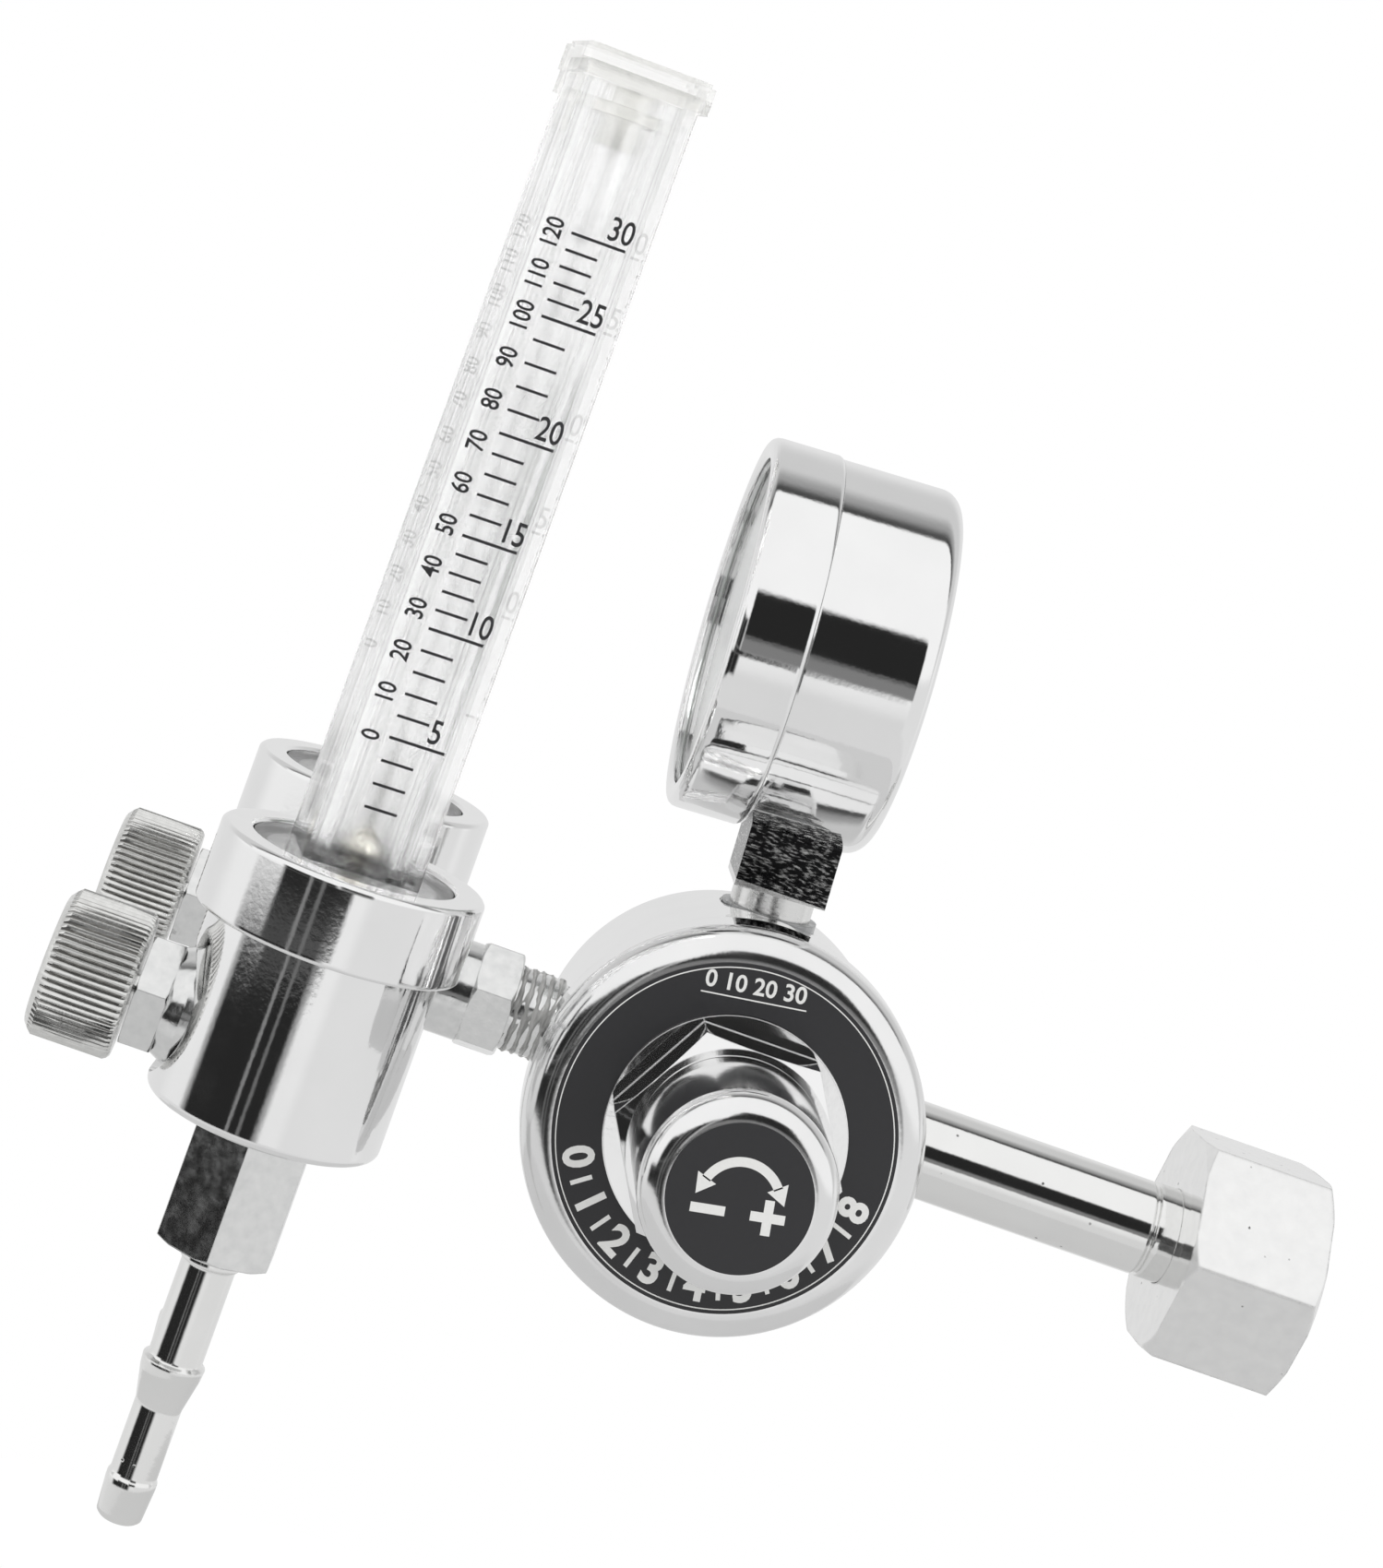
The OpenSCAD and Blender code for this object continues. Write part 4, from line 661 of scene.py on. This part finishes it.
@dataclass
class Inlet:
    """The inlet pipe with its groove and collar, and the nut."""

    finishes: Finishes
    pipe_r: float = 6.65
    nut_x: float = 69.7
    collar_len: float = 3.2
    body: str = "regulator"

    def build(self) -> None:
        """Builds the pipe's turned skin."""
        groove = self.nut_x - self.collar_len
        outline = [(2.6, 17.2), (self.pipe_r, 17.2), (self.pipe_r, groove - 0.7), (self.pipe_r - 0.4, groove - 0.6),
                   (self.pipe_r - 0.4, groove - 0.1), (self.pipe_r + 0.1, groove), (self.pipe_r + 0.1, 73.58),
                   (9.2, 73.58), (9.2, 76.98), (6.0, 76.98), (6.0, 80.98), (4.25, 80.98), (4.25, 73.98),
                   (2.6, 73.98)]
        put(turned("inlet_pipe_skin", outline, shift(0, 0, 0) @ turn_to(Axis.INLET),
                   self.finishes.get("pipe"), segments=128, edge=0.12), self.body, "satin_nickel", "inlet_pipe")

    def dress(self) -> None:
        """Gives the inlet's CAD nodes their finishes."""
        for node, finish in {"inlet_filter": "bronze", "inlet_nut": "nut", "inlet_gasket": "fibre"}.items():
            dress_node(node, self.finishes.get(finish))


@dataclass
class Outlet:
    """The outlet union with its taped thread, and the bar that carries both flowmeters."""

    finishes: Finishes
    thread_r: float = 5.9
    x_start: float = -24.4
    x_end: float = -30.75
    pitch: float = 1.34
    body: str = "regulator"

    def build(self) -> None:
        """Builds the thread with the tape that is wound into it."""
        verts, faces = [], []
        rows, cols = 46, 96
        for i in range(rows + 1):
            x = self.x_start + (self.x_end - self.x_start) * i / rows
            for j in range(cols):
                a = 2 * math.pi * j / cols
                wave = math.sin(2 * math.pi * x / self.pitch - a)
                fray = 0.18 * math.sin(5 * a + 3.1 * x) * math.sin(2.3 * a - 1.7 * x) + 0.05 * math.sin(17 * a + 9 * x)
                r = self.thread_r + 0.03 + 0.24 * max(wave, -0.5) + fray
                verts.append(Vector((x + ORIGIN_X, r * math.cos(a), r * math.sin(a))))
        for i in range(rows):
            for j in range(cols):
                k = (j + 1) % cols
                faces.append([i * cols + j, i * cols + k, (i + 1) * cols + k, (i + 1) * cols + j])
        faces += [list(range(cols)), [rows * cols + j for j in reversed(range(cols))]]
        put(mesh_object("taped_outlet_thread", verts, faces, self.finishes.get("tape"), 60.0), self.body,
            "satin_nickel")

    def dress(self) -> None:
        """Gives the outlet's CAD nodes their finishes."""
        for node in ("outlet_union", "manifold"):
            dress_node(node, self.finishes.get("facet"))


@dataclass
class Gauge:
    """The side gauge: case, bezel, dial with figures, and the stem."""

    finishes: Finishes
    lean: float = 3.0
    foot_z: float = 23.843
    axis_z: float = 63.0
    bezel_r: float = 27.3
    bezel_x: float = -19.0
    bezel_back: float = -8.4
    case_r: float = 26.9
    case_x: float = 9.8
    dial_x: float = -11.4
    body: str = "regulator"

    def place(self) -> Matrix:
        """Matrix of the gauge's own frame, which leans towards the flowmeters about the stem's foot."""
        foot = Matrix.Translation((0, 0, self.foot_z))
        tilt = Matrix.Rotation(math.radians(-self.lean), 4, "Y")
        return shift(0, 0, 0) @ foot @ tilt @ Matrix.Translation((0, 0, self.axis_z - self.foot_z))

    def build(self) -> None:
        """Builds the case and bezel skins and the dial's print."""
        f = self.finishes
        along = self.place() @ turn_to(Axis.INLET)
        case = [(0.0, self.case_x)] + arc(self.case_r, self.case_x, 3.0, 10)[::-1]
        case += [(self.case_r, self.bezel_back), (25.8, self.bezel_back), (25.8, self.case_x - 1.1),
                 (0.0, self.case_x - 1.1)]
        put(turned("gauge_case_skin", case, along, f.get("mirror"), closed=False, segments=192, edge=0.1),
            self.body, "chrome_plating", "gauge_case")
        b, r = self.bezel_x, self.bezel_r
        bezel = [(24.0, b + 1.6), (24.0, b + 0.5), (24.5, b + 0.15), (25.4, b), (26.4, b + 0.1), (26.9, b + 0.4),
                 (27.2, b + 0.9), (r, b + 1.6), (r, self.bezel_back - 0.5), (r - 0.25, self.bezel_back - 0.05),
                 (25.8, self.bezel_back - 0.05), (25.8, b + 1.6)]
        put(turned("gauge_bezel_skin", bezel, along, f.get("mirror"), segments=192, edge=0.1), self.body,
            "chrome_plating", "gauge_bezel")
        self._dial()

    def _dial(self) -> None:
        """Prints a plain scale from 0 to 25 over 270 degrees of the dial."""
        face = self.place() @ Matrix.Translation((self.dial_x, 0, 0)) @ Matrix.Rotation(
            math.radians(-90), 4, "Y") @ Matrix.Rotation(math.radians(-90), 4, "Z")
        ink = self.finishes.get("black_ink")
        rects: list[bpy.types.Object] = []
        for i in range(51):
            a = math.radians(225 - 270 * i / 50)
            major = i % 10 == 0
            turn = Matrix.Rotation(a, 4, "Z")
            size = (18.6 if major else 19.8, -0.16 if major else -0.07, 21.4, 0.16 if major else 0.07)
            rects.append(bars(f"dial_mark_{i}", [size], face @ turn, ink))
            if major:
                spot = Matrix.Translation((15.9 * math.cos(a), 15.9 * math.sin(a), 0))
                put(glyphs(f"dial_figure_{i // 2}", str(i // 2), 2.6, face @ spot, ink), self.body, "white_enamel")
        join("dial_marks", rects)
        put(rects[0], self.body, "white_enamel")
        put(ring_band("dial_arc", 21.4, 21.65, -45, 225, face, ink), self.body, "white_enamel")

    def dress(self) -> None:
        """Gives the gauge's CAD nodes their finishes."""
        for node, finish in {"gauge_lens": "glass", "gauge_dial": "enamel", "gauge_pointer": "black_ink",
                             "gauge_stem": "block", "bourdon_tube": "brass", "drive_link": "brass",
                             "sector_gear": "brass", "movement_frame": "brass", "dial_screws": "steel",
                             "gauge_washer": "tin"}.items():
            dress_node(node, self.finishes.get(finish))


def join(name: str, pieces: list[bpy.types.Object]) -> None:
    """Joins mesh pieces into the first one and names it."""
    with bpy.context.temp_override(active_object=pieces[0], selected_editable_objects=pieces,
                                   selected_objects=pieces):
        bpy.ops.object.join()
    pieces[0].name = name


@dataclass
class Flowmeter:
    """One flowmeter: housing, collar, clear tubes with their scale, needle valve and hose tail."""

    finishes: Finishes
    name: str
    side: int
    turn: float = 9.7
    axis_x: float = -59.0
    axis_y: float = 32.3
    seam_z: float = 7.5
    rim_z: float = 18.6
    collar_r: float = 18.46
    opening_r: float = 14.1
    tube_w: float = 16.2
    tube_top: float = 129.0
    needle_z: float = -7.0
    knob_r: float = 9.85
    knob_start: float = 21.694
    knob_len: float = 12.1
    ridges: int = 60
    groove: float = 0.55
    body: str = "regulator"
    fives: tuple[float, ...] = (20.6, 36.4, 51.4, 64.3, 78.5, 94.8, 106.4)
    column_x: float = -5.1
    column_z: float = 36.0
    column_step: float = 5.8
    column_count: int = 13

    def axis(self) -> Matrix:
        """Matrix of the flowmeter's own upright axis."""
        return shift(self.axis_x, self.side * self.axis_y, 0)

    def build(self) -> None:
        """Builds the turned skins, the knob and the printed scale."""
        f, low, n = self.finishes, self.seam_z, self.name
        collar = [(self.opening_r, 16.2), (self.opening_r, self.rim_z - 0.35), (self.opening_r + 0.35, self.rim_z),
                  (self.collar_r - 0.5, self.rim_z), (self.collar_r, self.rim_z - 0.5), (self.collar_r, low + 0.35),
                  (self.collar_r - 0.3, low + 0.04), (15.25, low + 0.04), (15.25, 16.2)]
        put(turned(f"{n}_collar_skin", collar, self.axis(), f.get("mirror"), segments=192, edge=0.2), self.body,
            "chrome_plating", f"{n}_collar")
        tail = [(1.8, -72.68), (2.55, -72.68), (3.1, -72.2), (3.45, -67.8), (3.45, -67.0), (3.2, -66.6),
                (3.2, -57.0), (4.15, -52.6), (4.3, -51.1), (3.7, -50.7), (3.7, -37.5), (4.1, -37.5), (4.1, -29.6),
                (5.3, -29.6), (5.3, -26.6), (1.8, -26.6)]
        put(turned(f"{n}_hose_tail_skin", tail, self.axis(), f.get("pipe"), segments=96, edge=0.18), self.body,
            "satin_nickel", f"{n}_hose_tail")
        self._knob()
        self._scale()

    def _knob(self) -> None:
        """Builds the knob, whose straight ridges run out in the bevels at both ends."""
        per, reach = 6, self.knob_len
        cols = self.ridges * per
        outline = [(2.5, 0.0), (self.knob_r - 0.7, 0.0), (self.knob_r - 0.3, 0.3), (self.knob_r + 0.02, 0.8)]
        outline += [(self.knob_r + 0.02, 0.8 + (reach - 2.2) * i / 3) for i in (1, 2, 3)]
        outline += [(self.knob_r - 0.6, reach - 0.75), (self.knob_r - 1.3, reach - 0.15), (self.knob_r - 1.7, reach),
                    (4.2, reach), (3.9, reach - 0.25), (0.0, reach - 0.25)]
        verts, rings = [], []
        place = shift(self.axis_x, self.side * self.axis_y, self.needle_z) @ turn_to(Axis.KNOB) @ Matrix.Translation(
            (0, 0, self.knob_start))
        for r, h in outline:
            if r < 1e-6:
                rings.append([len(verts)] * cols)
                verts.append(place @ Vector((0, 0, h)))
                continue
            rings.append(list(range(len(verts), len(verts) + cols)))
            for j in range(cols):
                a = 2 * math.pi * j / cols
                ridge = self.knob_r - self.groove * (1 - abs(math.cos(0.5 * self.ridges * a))) ** 0.8
                rr = min(r, ridge)
                verts.append(place @ Vector((rr * math.cos(a), rr * math.sin(a), h)))
        faces = []
        for lo, hi in zip(rings, rings[1:]):
            for j in range(cols):
                k = (j + 1) % cols
                faces.append(list(dict.fromkeys([lo[j], lo[k], hi[k], hi[j]])))
        faces.append(rings[0][::-1])
        knob = mesh_object(f"{self.name}_knob_ridged", verts, faces, self.finishes.get("knurl"), 25.0)
        # The troughs between the ridges take the darker groove finish, which is painted shade.
        knob.data.materials.append(self.finishes.get("groove"))
        for polygon in knob.data.polygons[3 * cols:7 * cols]:
            turn = (polygon.index % cols + 0.5) / cols * self.ridges
            polygon.material_index = int(abs(turn % 1 - 0.5) < 0.2)
        put(knob, f"{self.name}_knob", "satin_nickel", f"{self.name}_knob")

    def _scale(self) -> None:
        """Prints the flow scale on the tube's front face."""
        n, ink = self.name, self.finishes.get("black_ink")
        upright = Matrix.Rotation(math.radians(self.turn), 4, "Z") @ Matrix.Rotation(math.radians(90), 4, "X")
        face = self.axis() @ upright @ Matrix.Translation((0, 0, self.tube_w / 2 + 0.01))
        rects = []
        for i in range(2, 31):
            five, rest = divmod(i, 5)
            z = self.fives[five] + (self.fives[min(five + 1, 6)] - self.fives[five]) * rest / 5
            right, half = (4.95, 0.2) if rest == 0 else (1.75, 0.19)
            rects.append((-2.75, z - half, right, z + half))
        put(bars(f"{n}_scale_marks", rects, face, ink), self.body, "clear_acrylic")
        for i in range(1, 7):
            x = 3.6 if i > 1 else 2.9
            spot = Matrix.Translation((x, self.fives[i] + 2.2, 0))
            put(glyphs(f"{n}_scale_figure_{5 * i}", str(5 * i), 3.3, face @ spot @ Matrix.Scale(0.8, 4, (1, 0, 0)),
                       ink, bold=0.04), self.body, "clear_acrylic")
        column = []
        for i in range(self.column_count):
            spot = Matrix.Translation((self.column_x, self.column_z + self.column_step * i, 0))
            turn = Matrix.Rotation(math.radians(90), 4, "Z") @ Matrix.Scale(0.8, 4, (1, 0, 0))
            column.append(glyphs(f"{n}_column_{i}", str(10 * i), 2.5, face @ spot @ turn, ink, bold=0.05))
        join(f"{n}_scale_column", column)
        put(column[0], self.body, "clear_acrylic")

    def dress(self) -> None:
        """Gives the flowmeter's CAD nodes their finishes."""
        for node, finish in {"housing": "mirror", "cover_tube": "acrylic", "tube_cap": "lid",
                             "metering_tube": "bore", "float_ball": "ball", "top_stop": "frosted",
                             "seal_rings": "rubber", "needle": "pipe", "gland": "facet",
                             "union_nut": "facet"}.items():
            dress_node(f"{self.name}_{node}", self.finishes.get(finish))


@dataclass
class Studio:
    """White studio: floor, world with the dark side of the room, lamps and the camera."""

    floor_z: float = -0.17
    floor_r: float = 0.24
    floor_in_metal: float = 0.62
    camera_mm: tuple[float, float, float] = (-66.42, -477.59, 101.48)
    azimuth: float = -2.32
    elevation: float = -2.74
    roll: float = 19.77
    focal_px: float = 3593.67
    frame_px: float = 1700.0
    shift_px: tuple[float, float] = (4.18, -689.05)

    def build(self) -> None:
        """Builds the whole studio."""
        self._floor()
        self._world()
        self._lamps()
        self._camera()

    def _floor(self) -> None:
        """Builds the pale floor, which shows white to the eye and in metal, and keeps a soft shadow."""
        material, tree, shader = new_material("pale_studio_floor")
        shader.inputs["Base Color"].default_value = linear("#F4F4F4")
        shader.inputs["Roughness"].default_value = 0.9
        path = add(tree, "ShaderNodeLightPath")
        seen = add(tree, "ShaderNodeMath", {"operation": "MAXIMUM"},
                   {0: path.outputs["Is Camera Ray"], 1: path.outputs["Is Transmission Ray"]})
        any_ray = add(tree, "ShaderNodeMath", {"operation": "MAXIMUM"},
                      {0: seen.outputs[0], 1: path.outputs["Is Glossy Ray"]})
        share = add(tree, "ShaderNodeMath", {"operation": "MULTIPLY", 1: 0.9}, {0: any_ray.outputs[0]})
        level = add(tree, "ShaderNodeMix", {"data_type": "FLOAT", 2: self.floor_in_metal, 3: 1.02},
                    {0: seen.outputs[0]})
        white = add(tree, "ShaderNodeEmission", {"Color": (1.0, 1.0, 1.0, 1.0)}, {"Strength": level.outputs[0]})
        both = add(tree, "ShaderNodeMixShader", links={0: share.outputs[0], 1: shader.outputs[0],
                                                       2: white.outputs[0]})
        out = next(n for n in tree.nodes if n.type == "OUTPUT_MATERIAL")
        tree.links.new(both.outputs[0], out.inputs["Surface"])
        steps = 96
        verts = [Vector((ORIGIN_X, 0, self.floor_z / MM))]
        verts += [Vector((ORIGIN_X + self.floor_r / MM * math.cos(2 * math.pi * i / steps),
                          self.floor_r / MM * math.sin(2 * math.pi * i / steps), self.floor_z / MM))
                  for i in range(steps)]
        faces = [[0, 1 + i, 1 + (i + 1) % steps] for i in range(steps)]
        mesh_object("studio_floor", verts, faces, material)

    def _world(self) -> None:
        """Builds the white room, with the dark opening where the camera stands, as metal shows it."""
        world = bpy.data.worlds.new("white_room")
        bpy.context.scene.world = world
        world.use_nodes = True
        tree = world.node_tree
        tree.nodes.clear()
        way = add(tree, "ShaderNodeTexCoord").outputs["Generated"]
        parts = add(tree, "ShaderNodeSeparateXYZ", links={0: way})
        back = add(tree, "ShaderNodeMath", {"operation": "MULTIPLY", 1: -1.0}, {0: parts.outputs["Y"]})
        side = add(tree, "ShaderNodeMath", {"operation": "ARCTAN2"}, {0: parts.outputs["X"], 1: back.outputs[0]})
        rise = add(tree, "ShaderNodeMath", {"operation": "ARCSINE"}, {0: parts.outputs["Z"]})

        pitch = add(tree, "ShaderNodeMath", {"operation": "ARCTAN2"}, {0: parts.outputs["Z"], 1: back.outputs[0]})
        turns = {"az": side.outputs[0], "el": rise.outputs[0], "pitch": pitch.outputs[0]}

        def window(**spans: tuple[float, float, float]) -> bpy.types.NodeSocket:
            """Mask that is 1 between two angles of each kind, in degrees, with a soft border of the third."""
            mask = None
            for kind, (lo, hi, edge) in spans.items():
                for start, rising in ((lo, True), (hi, False)):
                    a, b = math.radians(start - edge / 2), math.radians(start + edge / 2)
                    step = add(tree, "ShaderNodeMapRange", {"interpolation_type": "SMOOTHSTEP", 1: a, 2: b,
                                                            3: 0.0 if rising else 1.0, 4: 1.0 if rising else 0.0},
                               {0: turns[kind]}).outputs[0]
                    mask = step if mask is None else add(tree, "ShaderNodeMath", {"operation": "MULTIPLY"},
                                                         {0: mask, 1: step}).outputs[0]
            return mask

        level = add(tree, "ShaderNodeMapRange", {"interpolation_type": "SMOOTHSTEP", 1: math.radians(-35),
                                                 2: math.radians(4), 3: 0.74, 4: 1.0}, {0: rise.outputs[0]}).outputs[0]
        for value, spans in (
                (0.74, {"az": (-60, 70, 20), "el": (-60, -22, 8)}),
                (0.80, {"az": (22, 106, 12), "el": (-30, 4, 8)}),
                (0.80, {"az": (112, 200, 24)}),
                (0.80, {"az": (-200, -112, 24)}),
                (0.66, {"pitch": (104, 150, 26)}),
                (0.36, {"pitch": (80, 115, 14), "el": (30, 100, 10)}),
                (0.07, {"pitch": (80, 104, 10), "el": (30, 100, 10)}),
                (1.00, {"pitch": (55, 96.5, 3)}),
                (0.36, {"az": (-82, 2, 6), "el": (-25, -11.4, 3)}),
                (0.02, {"az": (-77, -3, 5), "el": (-24, -12.3, 1.5)}),
                (0.02, {"az": (-54, 8, 5), "el": (-12.3, -9, 1.5)}),
                (0.02, {"az": (-54, -6, 6), "el": (-9.5, 9, 4)}),
                (0.22, {"az": (-4, 24, 3), "pitch": (-9.5, 0, 2)}),
                (0.02, {"az": (-4, 24, 3), "pitch": (-1, 27.5, 4)}),
                (0.24, {"az": (-30, -27, 2), "el": (-24, 9, 1)}),
                (0.16, {"az": (-19, -16, 2), "el": (-24, 9, 1)})):
            level = add(tree, "ShaderNodeMix", {"data_type": "FLOAT", 3: value},
                        {0: window(**spans), 2: level}).outputs[0]
        path = add(tree, "ShaderNodeLightPath")
        glossy = add(tree, "ShaderNodeMix", {"data_type": "FLOAT", 2: 0.62},
                     {0: path.outputs["Is Glossy Ray"], 3: level}).outputs[0]
        clear = add(tree, "ShaderNodeMath", {"operation": "MAXIMUM"},
                    {0: path.outputs["Is Camera Ray"], 1: path.outputs["Is Transmission Ray"]})
        seen = add(tree, "ShaderNodeMix", {"data_type": "FLOAT", 3: 1.0}, {0: clear.outputs[0], 2: glossy}).outputs[0]
        sky = add(tree, "ShaderNodeBackground", {"Color": (1.0, 1.0, 1.0, 1.0)}, {"Strength": seen})
        add(tree, "ShaderNodeOutputWorld", links={"Surface": sky.outputs[0]})

    def _lamps(self) -> None:
        """Adds two large soft lamps, from above left and from the right."""
        for name, spot, size, watts in (("top_softbox", (-0.45, -0.35, 0.75), 0.6, 5.0),
                                        ("side_softbox", (0.5, -0.6, 0.35), 0.5, 2.2)):
            lamp = bpy.data.lights.new(name, "AREA")
            lamp.size, lamp.energy = size, watts
            holder = bpy.data.objects.new(name, lamp)
            holder.location = spot
            holder.rotation_euler = (Vector((-0.09, 0, 0.02)) - Vector(spot)).to_track_quat("-Z", "Y").to_euler()
            holder.visible_glossy = False
            bpy.context.scene.collection.objects.link(holder)

    def _camera(self) -> None:
        """Places the camera as it was solved from the photograph."""
        az, el, roll = (math.radians(v) for v in (self.azimuth, self.elevation, self.roll))
        back = Vector((math.sin(az) * math.cos(el), -math.cos(az) * math.cos(el), math.sin(el)))
        right0 = Vector((0, 0, 1)).cross(back).normalized()
        up0 = back.cross(right0)
        right = math.cos(roll) * right0 + math.sin(roll) * up0
        up = -math.sin(roll) * right0 + math.cos(roll) * up0
        data = bpy.data.cameras.new("photo_camera")
        data.sensor_width = 36.0
        data.lens = self.focal_px / self.frame_px * 36.0
        data.shift_x = -self.shift_px[0] / self.frame_px
        data.shift_y = self.shift_px[1] / self.frame_px
        data.clip_start = 0.01
        camera = bpy.data.objects.new("photo_camera", data)
        x, y, z = self.camera_mm
        camera.matrix_world = Matrix.Translation(((x + ORIGIN_X) * MM, y * MM, z * MM)) @ Matrix(
            (right, up, back)).transposed().to_4x4()
        bpy.context.scene.collection.objects.link(camera)
        bpy.context.scene.camera = camera


def main() -> None:
    logging.basicConfig(level=logging.INFO, format="%(message)s")
    bpy.context.scene.view_settings.view_transform = "Standard"
    finishes = Finishes()
    pieces = [RegulatorHead(finishes), Inlet(finishes), Outlet(finishes), Gauge(finishes),
              Flowmeter(finishes, "front", -1), Flowmeter(finishes, "rear", 1)]
    for piece in pieces:
        piece.build()
        piece.dress()
        LOG.info("built %s", getattr(piece, "name", type(piece).__name__))
    Studio().build()
    LOG.info("built the studio")


if __name__ == "__main__":
    main()
